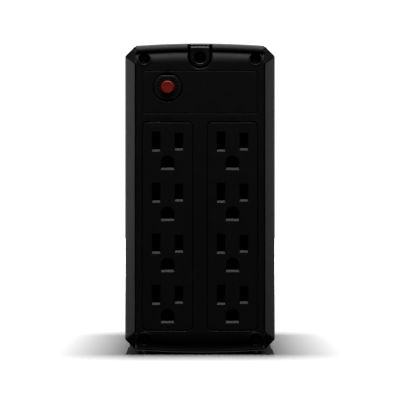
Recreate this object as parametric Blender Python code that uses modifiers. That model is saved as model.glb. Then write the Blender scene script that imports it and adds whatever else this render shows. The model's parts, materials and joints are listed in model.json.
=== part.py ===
"""Mini-tower uninterruptible power supply with eight outlets on its rear face.

Frame: metres, +Z up, the outlet face towards -Y, the origin on the floor under the middle of the body.
A spine of rear panel, top cover, front panel, battery door and base tray runs round the middle, and two side
shells close it left and right. Inside are the transformer, the battery, the shelf and the circuit boards.
"""

import math
from functools import partial

import bmesh
import bpy
from mathutils import Matrix, Vector

MM = 0.001

# Body
DEPTH = 270 * MM  # outlet face to front face
HALF_WIDTH = 41.6 * MM
SEAM_X = 35.9 * MM  # seam between the spine and a side shell
BODY_BOTTOM = 1.2 * MM
BODY_TOP = 172.8 * MM
CROWN = 1.3 * MM  # how far the spine arches above its own edges
WALL = 2.4 * MM
SEAM_GAP = 0.2 * MM  # each side of the seam plane
FIT_GAP = 0.35 * MM  # between pieces that meet

REAR = -DEPTH / 2
FRONT = DEPTH / 2
CORNER = HALF_WIDTH - SEAM_X  # the 45 degree corner and the end bevels
EDGE_TOP = BODY_TOP - CROWN
EDGE_BOTTOM = BODY_BOTTOM + CROWN
SPINE_HALF = SEAM_X - SEAM_GAP
SHELL_EDGE = SEAM_X + SEAM_GAP

# Rolled lip and sloped band at the top and bottom of the end panels
BAND_HEIGHT = 11.2 * MM
BAND_RADIUS = 12 * MM
LIP_RADIUS = 2.4 * MM
LIP_SETBACK = 3.4 * MM  # lip centre behind the face
LIP_LENGTH = 5.8 * MM  # face to the lip's inner end
VALLEY = 4.4 * MM  # groove between lip and band, below the top
PANEL_WALL = 2.5 * MM

# Outlets: two columns of four NEMA 5-15 receptacles
COLUMN_X = 18.0 * MM
BANK_WIDTH = 27.8 * MM
BANK_HEIGHT = 115.0 * MM
BANK_Z = 71.5 * MM
BANK_RADIUS = 2.8 * MM
BANK_FACE = REAR + 0.2 * MM
BANK_DEPTH = 16 * MM
BANK_FRONT_WALL = 5 * MM
OUTLET_PITCH = 28.4 * MM
TOP_OUTLET_Z = 118.3 * MM
OUTLET_ROWS = 4
BLADE_X = 6.35 * MM
GROUND_DROP = 11.9 * MM
SLOT_WIDTH = 2.4 * MM
NEUTRAL_HEIGHT = 8.8 * MM
LINE_HEIGHT = 7.5 * MM
LEAD_IN = 1.15 * MM  # chamfer round each hole
GROUND_RADIUS = 2.7 * MM
GROUND_LENGTH = 6.2 * MM

# Reset breaker, cord gland, label recess and screws on the rear panel
BREAKER_X = -COLUMN_X
BREAKER_Z = 148.7 * MM
BREAKER_HOLE = 8.05 * MM
COLLAR_RADIUS = 7.35 * MM
COLLAR_FLAT = 6.7 * MM
BUTTON_BORE = 4.1 * MM
BUTTON_RADIUS = 3.8 * MM
BUTTON_PROUD = 2.2 * MM  # the power button's ring stands as proud, so the outlet and front ends match
GLAND_Z = 165.7 * MM
GLAND_SLOT = 6.65 * MM
GLAND_NOSE = 5.4 * MM
GLAND_FLANGE = 8.3 * MM
GLAND_BORE = 3.25 * MM
GLAND_BORE_Z = 165.3 * MM
LABEL_WIDTH = 64.3 * MM
LABEL_BOTTOM = 134.3 * MM
LABEL_TOP = 157.4 * MM
SCREW_X = 30.85 * MM
SCREW_TOP_Z = 164.65 * MM
SCREW_BOTTOM_Z = 9.1 * MM
SCREW_WELL = 3.0 * MM
SCREW_SEAT_Y = REAR + 10 * MM

# Front: battery door on a hinge along its foot, power button above it
DOOR_TOP = 106.0 * MM
HINGE_Y = FRONT - 3.2 * MM
HINGE_Z = 5.0 * MM
KNUCKLE_RADIUS = 2.6 * MM
PIN_RADIUS = 1.0 * MM
PIN_BORE = 1.2 * MM
PIN_LENGTH = 11 * MM
EAR_X = 29.0 * MM
EAR_HALF = 2.0 * MM
EAR_RADIUS = 2.2 * MM
POWER_Z = 143.0 * MM
POWER_RADIUS = 8.0 * MM
RING_RADIUS = 9.95 * MM
STEM_RADIUS = 1.5 * MM
STEM_LENGTH = 12 * MM
STATUS_Z = 122.0 * MM
STATUS_PITCH = 9.0 * MM
STATUS_RADIUS = 1.3 * MM

# Inside
BASE_TOP = 5.0 * MM
SHELF_Z = 108.0 * MM
SHELF_THICKNESS = 2.0 * MM
BOARD_Z = 116.4 * MM
BOARD_THICKNESS = 1.6 * MM
BOARD_BACK = -106 * MM
BOARD_FRONT = 106 * MM
BOARD_HALF = 33 * MM
BATTERY_SIZE = Vector((65, 151, 94)) * MM
BATTERY_BACK = -29 * MM
BATTERY_BOTTOM = 5.4 * MM
CORE_SIZE = Vector((42, 60, 76)) * MM
CORE_BACK = -104 * MM
CORE_BOTTOM = 8.0 * MM
FOOT_X = 27 * MM
FOOT_Y = 112 * MM
FOOT_RADIUS = 6.0 * MM
FOOT_TOP = 2.9 * MM

SQRT2 = math.sqrt(2)
BOARD_TOP = BOARD_Z + BOARD_THICKNESS + FIT_GAP

FACING = {
    "X": Matrix(((0, 0, 1, 0), (1, 0, 0, 0), (0, 1, 0, 0), (0, 0, 0, 1))),  # outline in y, z
    "Y": Matrix(((1, 0, 0, 0), (0, 0, -1, 0), (0, 1, 0, 0), (0, 0, 0, 1))),  # outline in x, z
    "Z": Matrix.Identity(4),  # outline in x, y
}
AXIS = {"X": Vector((1, 0, 0)), "Y": Vector((0, 1, 0)), "Z": Vector((0, 0, 1))}

FINISHES = {
    "panel_black": ((0.020, 0.020, 0.021), 0.45, 0.0),
    "shell_black": ((0.022, 0.022, 0.023), 0.35, 0.0),
    "outlet_black": ((0.018, 0.018, 0.019), 0.50, 0.0),
    "gloss_black": ((0.010, 0.010, 0.011), 0.12, 0.0),
    "reset_red": ((0.55, 0.040, 0.025), 0.35, 0.0),
    "rubber": ((0.015, 0.015, 0.015), 0.85, 0.0),
    "black_steel": ((0.030, 0.030, 0.030), 0.35, 1.0),
    "bright_steel": ((0.60, 0.60, 0.61), 0.30, 1.0),
    "core_steel": ((0.30, 0.29, 0.27), 0.50, 1.0),
    "brass": ((0.72, 0.53, 0.22), 0.30, 1.0),
    "copper_winding": ((0.55, 0.22, 0.08), 0.40, 1.0),
    "aluminium": ((0.75, 0.76, 0.77), 0.35, 1.0),
    "board_green": ((0.020, 0.120, 0.050), 0.45, 0.0),
    "battery_grey": ((0.080, 0.085, 0.090), 0.50, 0.0),
    "relay_blue": ((0.030, 0.080, 0.250), 0.40, 0.0),
    "film_yellow": ((0.600, 0.420, 0.050), 0.45, 0.0),
    "sleeve_black": ((0.012, 0.012, 0.014), 0.30, 0.0),
    "wire_red": ((0.450, 0.020, 0.020), 0.45, 0.0),
    "wire_black": ((0.015, 0.015, 0.015), 0.50, 0.0),
    "lens": ((0.700, 0.720, 0.740), 0.15, 0.0),
}


# Scene and materials


def clear_scene():
    for obj in list(bpy.data.objects):
        bpy.data.objects.remove(obj)


def new_collection(name, parent):
    found = bpy.data.collections.new(name)
    parent.children.link(found)
    return found


clear_scene()
PARTS = new_collection("uninterruptible_power_supply", bpy.context.scene.collection)
TOOLS = new_collection("cutters_and_joined_shapes", bpy.context.scene.collection)


def material(name):
    """The named Principled material, made on first use."""
    found = bpy.data.materials.get(name)
    if found:
        return found
    colour, roughness, metallic = FINISHES[name]
    found = bpy.data.materials.new(name)
    found.use_nodes = True
    shader = found.node_tree.nodes["Principled BSDF"]
    shader.inputs["Base Color"].default_value = (*colour, 1)
    shader.inputs["Roughness"].default_value = roughness
    shader.inputs["Metallic"].default_value = metallic
    return found


def finish(obj, finish_name, smooth=False):
    """Gives a part its material and, if it is round, smooth shading with sharp edges kept."""
    obj.data.materials.clear()
    obj.data.materials.append(material(finish_name))
    if smooth:
        obj.data.shade_smooth()
        obj.data.set_sharp_from_angle(angle=math.radians(35))
    return obj


# Shapes


def object_from(name, mesh_data, matrix=None):
    """Makes a linked object from a bmesh, which it frees."""
    mesh = bpy.data.meshes.new(name)
    mesh_data.to_mesh(mesh)
    mesh_data.free()
    obj = bpy.data.objects.new(name, mesh)
    PARTS.objects.link(obj)
    if matrix is not None:
        obj.matrix_world = matrix
    return obj


def box(name, low, high):
    low, high = Vector(low), Vector(high)
    cube = bmesh.new()
    bmesh.ops.create_cube(cube, size=1)
    bmesh.ops.scale(cube, vec=high - low, verts=cube.verts)
    return object_from(name, cube, Matrix.Translation((low + high) / 2))


def cylinder(name, start, axis, length, radius, sides=24, end_radius=None):
    """A cylinder, or a cone if end_radius is given, from its start point along an axis."""
    cone = bmesh.new()
    bmesh.ops.create_cone(
        cone,
        cap_ends=True,
        segments=sides,
        radius1=radius,
        radius2=radius if end_radius is None else end_radius,
        depth=length,
    )
    direction = AXIS[axis]
    turn = Vector((0, 0, 1)).rotation_difference(direction).to_matrix().to_4x4()
    place = Matrix.Translation(Vector(start) + direction * length / 2)
    return object_from(name, cone, place @ turn)


def as_mesh(curve_object):
    """Turns a curve object into a mesh object with its caps welded."""
    PARTS.objects.link(curve_object)
    graph = bpy.context.evaluated_depsgraph_get()
    mesh = bpy.data.meshes.new_from_object(curve_object.evaluated_get(graph))
    welded = bmesh.new()
    welded.from_mesh(mesh)
    bmesh.ops.remove_doubles(welded, verts=welded.verts, dist=0.001 * MM)
    name, matrix = curve_object.name, curve_object.matrix_world.copy()
    bpy.data.objects.remove(curve_object)
    return object_from(name, welded, matrix)


def prism(name, outlines, axis, start, end):
    """Extrudes a flat outline along an axis. Outlines after the first are holes in it."""
    curve = bpy.data.curves.new(name, "CURVE")
    curve.dimensions = "2D"
    curve.fill_mode = "BOTH"
    curve.extrude = (end - start) / 2
    for outline in outlines:
        spline = curve.splines.new("POLY")
        spline.points.add(len(outline) - 1)
        for point, (across, up) in zip(spline.points, outline):
            point.co = (across, up, 0, 1)
        spline.use_cyclic_u = True
    obj = bpy.data.objects.new(name, curve)
    obj.matrix_world = Matrix.Translation(AXIS[axis] * (start + end) / 2) @ FACING[axis]
    return as_mesh(obj)


def tube(name, points, radius):
    """A wire through the given points, smoothed into one curve."""
    curve = bpy.data.curves.new(name, "CURVE")
    curve.dimensions = "3D"
    curve.bevel_depth = radius
    curve.bevel_resolution = 2
    curve.use_fill_caps = True
    smooth = smooth_path(points, 3)
    spline = curve.splines.new("POLY")
    spline.points.add(len(smooth) - 1)
    for point, place in zip(spline.points, smooth):
        point.co = (*place, 1)
    return as_mesh(bpy.data.objects.new(name, curve))


def smooth_path(points, steps):
    """Catmull-Rom points through the given ones."""
    points = [Vector(p) for p in points]
    padded = [2 * points[0] - points[1], *points, 2 * points[-1] - points[-2]]
    path = []
    for a, b, c, d in zip(padded, padded[1:], padded[2:], padded[3:]):
        for i in range(steps):
            t = i / steps
            bend = 2 * a - 5 * b + 4 * c - d
            swing = 3 * b - a - 3 * c + d
            path.append((2 * b + (c - a) * t + bend * t**2 + swing * t**3) / 2)
    return [*path, points[-1]]


def loft(name, rings):
    """A closed solid through rings of equal length, capped at both ends."""
    solid = bmesh.new()
    loops = [[solid.verts.new(p) for p in ring] for ring in rings]
    count = len(loops[0])
    for first, second in zip(loops, loops[1:]):
        for i in range(count):
            j = (i + 1) % count
            solid.faces.new((first[i], first[j], second[j], second[i]))
    bmesh.ops.triangulate(solid, faces=solid.faces)
    solid.faces.new(loops[0])
    solid.faces.new(loops[-1])
    bmesh.ops.recalc_face_normals(solid, faces=solid.faces)
    return object_from(name, solid)


def arc(centre, radius, start, end, steps):
    """Points on a circle from one angle to another, in degrees, with both ends."""
    turns = [math.radians(start + (end - start) * i / steps) for i in range(steps + 1)]
    return [(centre[0] + radius * math.cos(a), centre[1] + radius * math.sin(a)) for a in turns]


def rectangle(centre, width, height):
    (x, y), dx, dy = centre, width / 2, height / 2
    return [(x + dx, y + dy), (x - dx, y + dy), (x - dx, y - dy), (x + dx, y - dy)]


def rounded_rectangle(centre, width, height, radius, steps=3):
    dx, dy = width / 2 - radius, height / 2 - radius
    corners = ((dx, dy, 0), (-dx, dy, 90), (-dx, -dy, 180), (dx, -dy, 270))
    return [
        point
        for x, y, turn in corners
        for point in arc((centre[0] + x, centre[1] + y), radius, turn, turn + 90, steps)
    ]


def arched_slot(centre, half_width, top):
    """A U: a half circle below the centre, with straight sides up to the top."""
    x, z = centre
    return [(x + half_width, top), (x - half_width, top), *arc(centre, half_width, 180, 360, 12)]


# Joining and cutting


def combine(target, operation, shapes):
    """Adds one Boolean to the target that uses every given shape, and puts the shapes away."""
    group = new_collection(f"{target.name}_{operation.lower()}_{len(target.modifiers)}", TOOLS)
    for shape in shapes:
        PARTS.objects.unlink(shape)
        group.objects.link(shape)
        shape.hide_render = True
        shape.display_type = "WIRE"
    modifier = target.modifiers.new(operation.title(), "BOOLEAN")
    modifier.operation = operation
    modifier.operand_type = "COLLECTION"
    modifier.collection = group
    modifier.solver = "EXACT"
    return target


def cut(target, *shapes):
    return combine(target, "DIFFERENCE", shapes)


def join(target, *shapes):
    return combine(target, "UNION", shapes)


# Side shells


def body_hull(name, inset):
    """The whole body's convex outer shape, with every face moved inwards by inset."""
    diagonal = (SQRT2 - 1) * inset
    end_inset = 0.6 * inset
    edge_x, side_x = SEAM_X - diagonal, HALF_WIDTH - inset
    bevel_y, end_y = FRONT - CORNER - diagonal, FRONT - inset
    levels = (
        (EDGE_TOP - inset, EDGE_TOP - CORNER - diagonal, BODY_TOP - BAND_HEIGHT - end_inset),
        (EDGE_BOTTOM + inset, EDGE_BOTTOM + CORNER + diagonal, BODY_BOTTOM + BAND_HEIGHT + end_inset),
    )
    hull = bmesh.new()
    for edge_z, side_z, end_z in levels:
        for x in (-1, 1):
            for y in (-1, 1):
                hull.verts.new((x * edge_x, y * bevel_y, edge_z))
                hull.verts.new((x * side_x, y * bevel_y, side_z))
                hull.verts.new((x * edge_x, y * end_y, end_z))
    bmesh.ops.convex_hull(hull, input=hull.verts)
    bmesh.ops.dissolve_limit(hull, angle_limit=0.01, verts=hull.verts, edges=hull.edges)
    return object_from(name, hull)


VENT_PITCH = 7 * MM
VENT_WIDTH = 2.6 * MM
VENT_GROUPS = (  # count, first y, low z, high z
    (16, -52 * MM, 124 * MM, 148 * MM),
    (9, -104 * MM, 30 * MM, 70 * MM),
)
HOOK_PLACES = (-80 * MM, 0, 80 * MM)
HOOK_HALF_LENGTH = 7 * MM


def side_vents(side):
    """Slots through a side wall, beside the circuit boards and the transformer."""
    outer = side * (HALF_WIDTH + WALL)
    inner = side * (HALF_WIDTH - 2 * WALL)
    for count, first_y, low_z, high_z in VENT_GROUPS:
        for i in range(count):
            y = first_y + i * VENT_PITCH
            yield box(
                "vent",
                (min(outer, inner), y - VENT_WIDTH / 2, low_z),
                (max(outer, inner), y + VENT_WIDTH / 2, high_z),
            )


def shell_hooks(side):
    """Hooks that reach under the top cover and over the base tray, and the ledge for the shelf."""
    reach, root = side * 33.2 * MM, side * 38 * MM
    for y in HOOK_PLACES:
        for low, high in (
            (EDGE_TOP - 6.5 * MM, EDGE_TOP - 3.1 * MM),
            (EDGE_BOTTOM + 3.3 * MM, EDGE_BOTTOM + 6.5 * MM),
        ):
            yield box(
                "hook",
                (min(reach, root), y - HOOK_HALF_LENGTH, low),
                (max(reach, root), y + HOOK_HALF_LENGTH, high),
            )
    inner, outer = side * 37.4 * MM, side * (HALF_WIDTH - WALL / 2)
    yield box(
        "ledge",
        (min(inner, outer), -100 * MM, SHELF_Z - 3 * MM),
        (max(inner, outer), 110 * MM, SHELF_Z - FIT_GAP),
    )


def side_shell(name, side):
    """One side: wall, 45 degree corners and end bevels, open towards the spine."""
    shell = body_hull(name, 0)
    far = -side * 2 * HALF_WIDTH
    edge = side * SHELL_EDGE
    middle = box(
        "spine_space",
        (min(far, edge), 1.2 * REAR, -10 * MM),
        (max(far, edge), 1.2 * FRONT, BODY_TOP + 10 * MM),
    )
    cut(shell, body_hull("shell_cavity", WALL), middle)
    join(shell, *shell_hooks(side))
    cut(shell, *side_vents(side))
    return finish(shell, "shell_black")


# Spine: end panels, top cover and base tray


def crown_drop(x):
    """How far the arched spine lies below its highest line at this distance from the middle."""
    return CROWN * (x / SEAM_X) ** 2


def lip_section():
    """Upper end of an end panel: (setback from the face, distance below the top, share of the crown).

    It runs from the lip's inner end over the roll into the groove, and down the band to the flat face.
    """
    rim = arc((LIP_SETBACK, -LIP_RADIUS), LIP_RADIUS, 90, 236, 5)
    lip = [(LIP_LENGTH, 0.0), *[(x, z) for x, z in rim]]
    depth = BAND_RADIUS
    steps = 3
    band = []
    for i in range(steps + 1):
        rise = (BAND_HEIGHT - VALLEY) * (1 - i / steps)
        band.append((depth - math.sqrt(depth**2 - rise**2), -BAND_HEIGHT + rise))
    outer = [(x, z, 1.0) for x, z in lip[:-1]]
    outer += [(x, z, (BAND_HEIGHT + z) / (BAND_HEIGHT - VALLEY)) for x, z in band]
    return outer


def panel_ring(x, sign, low):
    """Closed section of an end panel at one x. sign is -1 at the rear and +1 at the front.

    low is None for a panel with a lip at both ends, or the height of a straight lower edge.
    """
    face = sign * DEPTH / 2
    drop = crown_drop(x)
    outer = lip_section()
    inner = [
        (PANEL_WALL, -BAND_HEIGHT, 0.0),
        (PANEL_WALL + 2.2 * MM, -VALLEY, 1.0),
        (LIP_LENGTH, -WALL, 1.0),
    ]

    def place(setback, below, share, top):
        height = BODY_TOP + below - drop * share if top else BODY_BOTTOM - below + drop * share
        return Vector((x, face - sign * setback, height))

    upper = [place(*p, True) for p in outer]
    upper_inner = [place(*p, True) for p in inner]
    if low is None:
        lower = [place(*p, False) for p in reversed(outer)]
        lower_inner = [place(*p, False) for p in reversed(inner)]
    else:
        lower = [Vector((x, face, low))]
        lower_inner = [Vector((x, face - sign * PANEL_WALL, low))]
    return [*upper, *lower, *lower_inner, *upper_inner]


def end_panel(name, sign, low=None, stations=8):
    """Rear or front panel: a flat face with the band and rolled lip, arched across its width."""
    across = [SPINE_HALF * (2 * i / stations - 1) for i in range(stations + 1)]
    return loft(name, [panel_ring(x, sign, low) for x in across])


def screw_places():
    return [(x, z) for z in (SCREW_TOP_Z, SCREW_BOTTOM_Z) for x in (-SCREW_X, SCREW_X)]


def rear_panel():
    panel = end_panel("rear_panel", -1)
    wells = [
        cylinder("boss", (x, REAR + 3.6 * MM, z), "Y", 10 * MM, 3.8 * MM, 16) for x, z in screw_places()
    ]
    join(panel, *wells)
    shapes = [
        prism("bank_opening", [bank_outline(side, FIT_GAP)], "Y", REAR - 2 * MM, REAR + 6 * MM)
        for side in (-1, 1)
    ]
    before = REAR - 2 * MM
    shapes.append(cylinder("breaker_opening", (BREAKER_X, before, BREAKER_Z), "Y", 8 * MM, BREAKER_HOLE, 36))
    slot = arched_slot((0, GLAND_Z), GLAND_SLOT, BODY_TOP + 5 * MM)
    shapes.append(prism("gland_slot", [slot], "Y", REAR - 2 * MM, REAR + 8 * MM))
    for x, z in screw_places():
        shapes.append(cylinder("screw_well", (x, before, z), "Y", SCREW_SEAT_Y - before, SCREW_WELL, 20))
        shapes.append(cylinder("screw_hole", (x, REAR, z), "Y", 20 * MM, 1.9 * MM, 12))
    cut(panel, *shapes)
    cut(panel, label_groove())
    return finish(panel, "panel_black")


def label_groove():
    """Shallow outline round the breaker and the blank label field."""
    width, depth = 0.7 * MM, 0.5 * MM
    centre = (0, (LABEL_BOTTOM + LABEL_TOP) / 2)
    height = LABEL_TOP - LABEL_BOTTOM
    outlines = [
        rounded_rectangle(centre, LABEL_WIDTH, height, 1.6 * MM),
        rounded_rectangle(centre, LABEL_WIDTH - 2 * width, height - 2 * width, 1.1 * MM),
    ]
    return prism("label_groove", outlines, "Y", REAR - MM, REAR + depth)


def top_cover():
    """Arched strip between the end panels, with two posts that take the upper rear screws."""
    steps = 8
    across = [SPINE_HALF * (1 - 2 * i / steps) for i in range(steps + 1)]
    outer = [(x, BODY_TOP - crown_drop(x)) for x in across]
    inner = [(x, z - WALL) for x, z in reversed(outer)]
    ends = LIP_LENGTH + FIT_GAP
    cover = prism("top_cover", [[*outer, *inner]], "Y", REAR + ends, FRONT - ends)
    join(cover, *screw_posts(SCREW_TOP_Z, BODY_TOP - 3.2 * MM))
    cut(cover, *post_holes(SCREW_TOP_Z))
    return finish(cover, "panel_black")


POST_START = REAR + 14.2 * MM
POST_LENGTH = 14 * MM
POST_RADIUS = 3.9 * MM


def screw_posts(z, anchor_z):
    """Posts that the rear screws thread into, on webs from the cover or tray at anchor_z."""
    for x in (-SCREW_X, SCREW_X):
        yield cylinder("post", (x, POST_START, z), "Y", POST_LENGTH, POST_RADIUS, 16)
        low, high = sorted((z, anchor_z))
        yield box("web", (x - 1.5 * MM, POST_START, low), (x + 1.5 * MM, POST_START + POST_LENGTH, high))


def post_holes(z):
    for x in (-SCREW_X, SCREW_X):
        yield cylinder("pilot", (x, POST_START - MM, z), "Y", POST_LENGTH - MM, 1.8 * MM, 12)


def base_tray():
    """Floor of the unit: arched below, flat above, with foot recesses and transformer seats."""
    steps = 8
    across = [SPINE_HALF * (2 * i / steps - 1) for i in range(steps + 1)]
    outer = [(x, BODY_BOTTOM + crown_drop(x)) for x in across]
    front = HINGE_Y - KNUCKLE_RADIUS - 0.5 * MM
    outline = [*outer, (SPINE_HALF, BASE_TOP), (-SPINE_HALF, BASE_TOP)]
    tray = prism("base_tray", [outline], "Y", REAR + LIP_LENGTH + FIT_GAP, front)
    half, seat_top = 4 * MM, CORE_BOTTOM - 2 * FIT_GAP
    seats = [
        box("seat", (x - half, y - half, BASE_TOP - MM), (x + half, y + half, seat_top))
        for x, y in strap_screw_places()
    ]
    ears = [
        box(
            "ear",
            (side * EAR_X - EAR_HALF, front - 3 * MM, HINGE_Z - EAR_RADIUS),
            (side * EAR_X + EAR_HALF, HINGE_Y, HINGE_Z + EAR_RADIUS),
        )
        for side in (-1, 1)
    ]
    ears += [
        cylinder("ear_end", (side * EAR_X - EAR_HALF, HINGE_Y, HINGE_Z), "X", 2 * EAR_HALF, EAR_RADIUS, 16)
        for side in (-1, 1)
    ]
    join(tray, *seats, *ears, *screw_posts(SCREW_BOTTOM_Z, BASE_TOP - 1.5 * MM))
    holes = [
        cylinder("recess", (x, y, -MM), "Z", FOOT_TOP + FIT_GAP + MM, FOOT_RADIUS + FIT_GAP, 20)
        for x, y in foot_places()
    ]
    holes += [cylinder("pilot", (x, y, 2.6 * MM), "Z", 8 * MM, 1.7 * MM, 12) for x, y in strap_screw_places()]
    holes.append(cylinder("hinge_bore", (-40 * MM, HINGE_Y, HINGE_Z), "X", 80 * MM, PIN_BORE, 16))
    cut(tray, *holes, *post_holes(SCREW_BOTTOM_Z))
    return finish(tray, "panel_black")


def foot_places():
    return [(x, y) for y in (-FOOT_Y, FOOT_Y) for x in (-FOOT_X, FOOT_X)]


def feet():
    for number, (x, y) in enumerate(foot_places(), 1):
        foot = cylinder(f"foot_{number}", (x, y, 0), "Z", FOOT_TOP, FOOT_RADIUS - 0.6 * MM, 20, FOOT_RADIUS)
        finish(foot, "rubber", smooth=True)


# Outlet banks


def bank_outline(side, grow):
    return rounded_rectangle(
        (side * COLUMN_X, BANK_Z), BANK_WIDTH + 2 * grow, BANK_HEIGHT + 2 * grow, BANK_RADIUS + grow
    )


def outlet_rows():
    return [TOP_OUTLET_Z - i * OUTLET_PITCH for i in range(OUTLET_ROWS)]


def arched_hole(x, z, grow):
    """Ground pin hole: half round above, flat below."""
    radius = GROUND_RADIUS + grow
    floor = z - (GROUND_LENGTH - GROUND_RADIUS) - grow
    return [*arc((x, z), radius, 0, 180, 8), (x - radius, floor), (x + radius, floor)]


def blade_slot(x, z, height, grow):
    return rectangle((x, z), SLOT_WIDTH + 2 * grow, height + 2 * grow)


def contact_holes(side):
    """Outlines of every hole in one bank, as functions of how much to grow them."""
    x = side * COLUMN_X
    for z in outlet_rows():
        yield partial(blade_slot, x - BLADE_X, z, NEUTRAL_HEIGHT)
        yield partial(blade_slot, x + BLADE_X, z, LINE_HEIGHT)
        yield partial(arched_hole, x, z - GROUND_DROP)


def hole_cutter(outline):
    """A contact hole with its funnel-shaped lead-in."""
    over = 0.5 * MM
    sections = (
        (BANK_FACE - over, LEAD_IN + over),
        (BANK_FACE + LEAD_IN, 0),
        (BANK_FACE + BANK_FRONT_WALL + over, 0),
    )
    return loft("contact_hole", [[Vector((x, y, z)) for x, z in outline(grow)] for y, grow in sections])


def outlet_block(name, side):
    """Moulded block of four receptacles, hollow behind its front wall, with a seating flange."""
    back = BANK_FACE + BANK_DEPTH
    block = prism(name, [bank_outline(side, 0)], "Y", BANK_FACE, back)
    flange_low, flange_high = BANK_Z - BANK_HEIGHT / 2 + 0.2 * MM, BANK_Z + BANK_HEIGHT / 2 + 2 * MM
    flange = box(
        "flange",
        (side * COLUMN_X - 16 * MM, REAR + PANEL_WALL + FIT_GAP, flange_low),
        (side * COLUMN_X + 16 * MM, REAR + PANEL_WALL + FIT_GAP + 1.6 * MM, flange_high),
    )
    join(block, flange)
    rim = 1.6 * MM
    cavity = prism(
        "cavity", [bank_outline(side, -rim)], "Y", BANK_FACE + BANK_FRONT_WALL, back + MM
    )
    cut(block, cavity, *[hole_cutter(outline) for outline in contact_holes(side)])
    return finish(block, "outlet_black")


BUS_BACK = BANK_FACE + 13 * MM
BUS_THICKNESS = 0.8 * MM
BUS_MARGIN = 4.2 * MM  # how far a bar runs past its end contacts
LEAF_FRONT = BANK_FACE + BANK_FRONT_WALL + 1.0 * MM


def bus_bar(name, x, leaf_offset, leaf_half_height, heights, tab_z):
    """A brass strip with a pair of contact leaves at each receptacle and a wire tab at one end."""
    low, high = min(heights) - BUS_MARGIN, max(heights) + BUS_MARGIN
    half = leaf_offset + BUS_THICKNESS + 0.2 * MM
    strip = box(name, (x - half, BUS_BACK, low), (x + half, BUS_BACK + BUS_THICKNESS, high))
    leaves = []
    for z in heights:
        for sign in (-1, 1):
            near, far = sorted((sign * leaf_offset, sign * (leaf_offset + BUS_THICKNESS)))
            leaves.append(
                box(
                    "leaf",
                    (x + near, LEAF_FRONT, z - leaf_half_height),
                    (x + far, BUS_BACK + 0.5 * BUS_THICKNESS, z + leaf_half_height),
                )
            )
    tab = box(
        "tab",
        (x - 0.4 * MM, BUS_BACK + 0.5 * BUS_THICKNESS, tab_z - 2.4 * MM),
        (x + 0.4 * MM, BUS_BACK + 12 * MM, tab_z + 2.4 * MM),
    )
    join(strip, *leaves, tab)
    return finish(strip, "brass")


def outlet_internals(label, side):
    """Three bus bars and the back cover of one bank."""
    x = side * COLUMN_X
    rows = outlet_rows()
    grounds = [z - GROUND_DROP for z in rows]
    bus_bar(f"{label}_neutral_bus", x - BLADE_X, 1.3 * MM, 3.4 * MM, rows, max(rows))
    bus_bar(f"{label}_line_bus", x + BLADE_X, 1.3 * MM, 3.0 * MM, rows, max(rows))
    bus_bar(f"{label}_ground_bus", x, 2.45 * MM, 2.4 * MM, grounds, min(grounds))
    cover = prism(
        f"{label}_outlet_cover",
        [bank_outline(side, -1.6 * MM - FIT_GAP)],
        "Y",
        BUS_BACK + BUS_THICKNESS + FIT_GAP,
        BANK_FACE + BANK_DEPTH,
    )
    tabs = ((x - BLADE_X, max(rows)), (x + BLADE_X, max(rows)), (x, min(grounds)))
    slots = [
        box(
            "tab_slot",
            (tab_x - 1.2 * MM, BUS_BACK, tab_z - 3.2 * MM),
            (tab_x + 1.2 * MM, BUS_BACK + 10 * MM, tab_z + 3.2 * MM),
        )
        for tab_x, tab_z in tabs
    ]
    cut(cover, *slots)
    finish(cover, "outlet_black")


# Cord gland, breaker and rear screws


def cord_gland():
    """Bush that drops into the rear panel's slot; the mains cord would leave through its bore."""
    face = REAR + 1.0 * MM
    flange_start = REAR + LIP_LENGTH + FIT_GAP
    top = BODY_TOP - 0.1 * MM
    nose = arched_slot((0, GLAND_Z), GLAND_NOSE, top)
    gland = prism("cord_gland", [nose], "Y", face, flange_start + 2 * MM)
    flange_top = BODY_TOP - WALL - 2 * FIT_GAP
    flange = prism(
        "flange",
        [arched_slot((0, GLAND_Z), GLAND_FLANGE, flange_top)],
        "Y",
        flange_start,
        flange_start + 5 * MM,
    )
    join(gland, flange)
    groove = box(
        "groove",
        (-GLAND_SLOT, face - MM, BODY_TOP - 1.7 * MM),
        (GLAND_SLOT, face + 1.2 * MM, BODY_TOP - 1.1 * MM),
    )
    nose_relief = box(
        "nose_relief",
        (-GLAND_SLOT, flange_start - FIT_GAP, flange_top),
        (GLAND_SLOT, flange_start + 8 * MM, BODY_TOP + MM),
    )
    bore = cylinder("bore", (0, face - MM, GLAND_BORE_Z), "Y", 20 * MM, GLAND_BORE, 24)
    cut(gland, groove, nose_relief, bore)
    return finish(gland, "rubber")


def reset_breaker():
    """Thermal breaker: a collar with two flats, a body behind the panel and two tabs."""
    face = REAR - 0.1 * MM
    back = REAR + 30 * MM
    flat_angle = math.degrees(math.asin(COLLAR_FLAT / COLLAR_RADIUS))
    centre = (BREAKER_X, BREAKER_Z)
    collar_outline = [
        *arc(centre, COLLAR_RADIUS, -flat_angle, flat_angle, 10),
        *arc(centre, COLLAR_RADIUS, 180 - flat_angle, 180 + flat_angle, 10),
    ]
    body_start = REAR + PANEL_WALL + FIT_GAP
    body = box(
        "breaker_body",
        (BREAKER_X - 7.6 * MM, body_start, BREAKER_Z - 12 * MM),
        (BREAKER_X + 7.6 * MM, back, BREAKER_Z + 12 * MM),
    )
    join(body, prism("collar", [collar_outline], "Y", face, body_start + MM))
    bore_start = face - MM
    cut(body, cylinder("button_bore", (BREAKER_X, bore_start, BREAKER_Z), "Y", 20 * MM, BUTTON_BORE, 32))
    finish(body, "outlet_black")
    for name, z in (("breaker_line_tab", BREAKER_Z + 7 * MM), ("breaker_load_tab", BREAKER_Z - 7 * MM)):
        tab = box(
            name,
            (BREAKER_X - 3.1 * MM, back + FIT_GAP, z - 0.4 * MM),
            (BREAKER_X + 3.1 * MM, back + 9 * MM, z + 0.4 * MM),
        )
        finish(tab, "brass")


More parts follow.
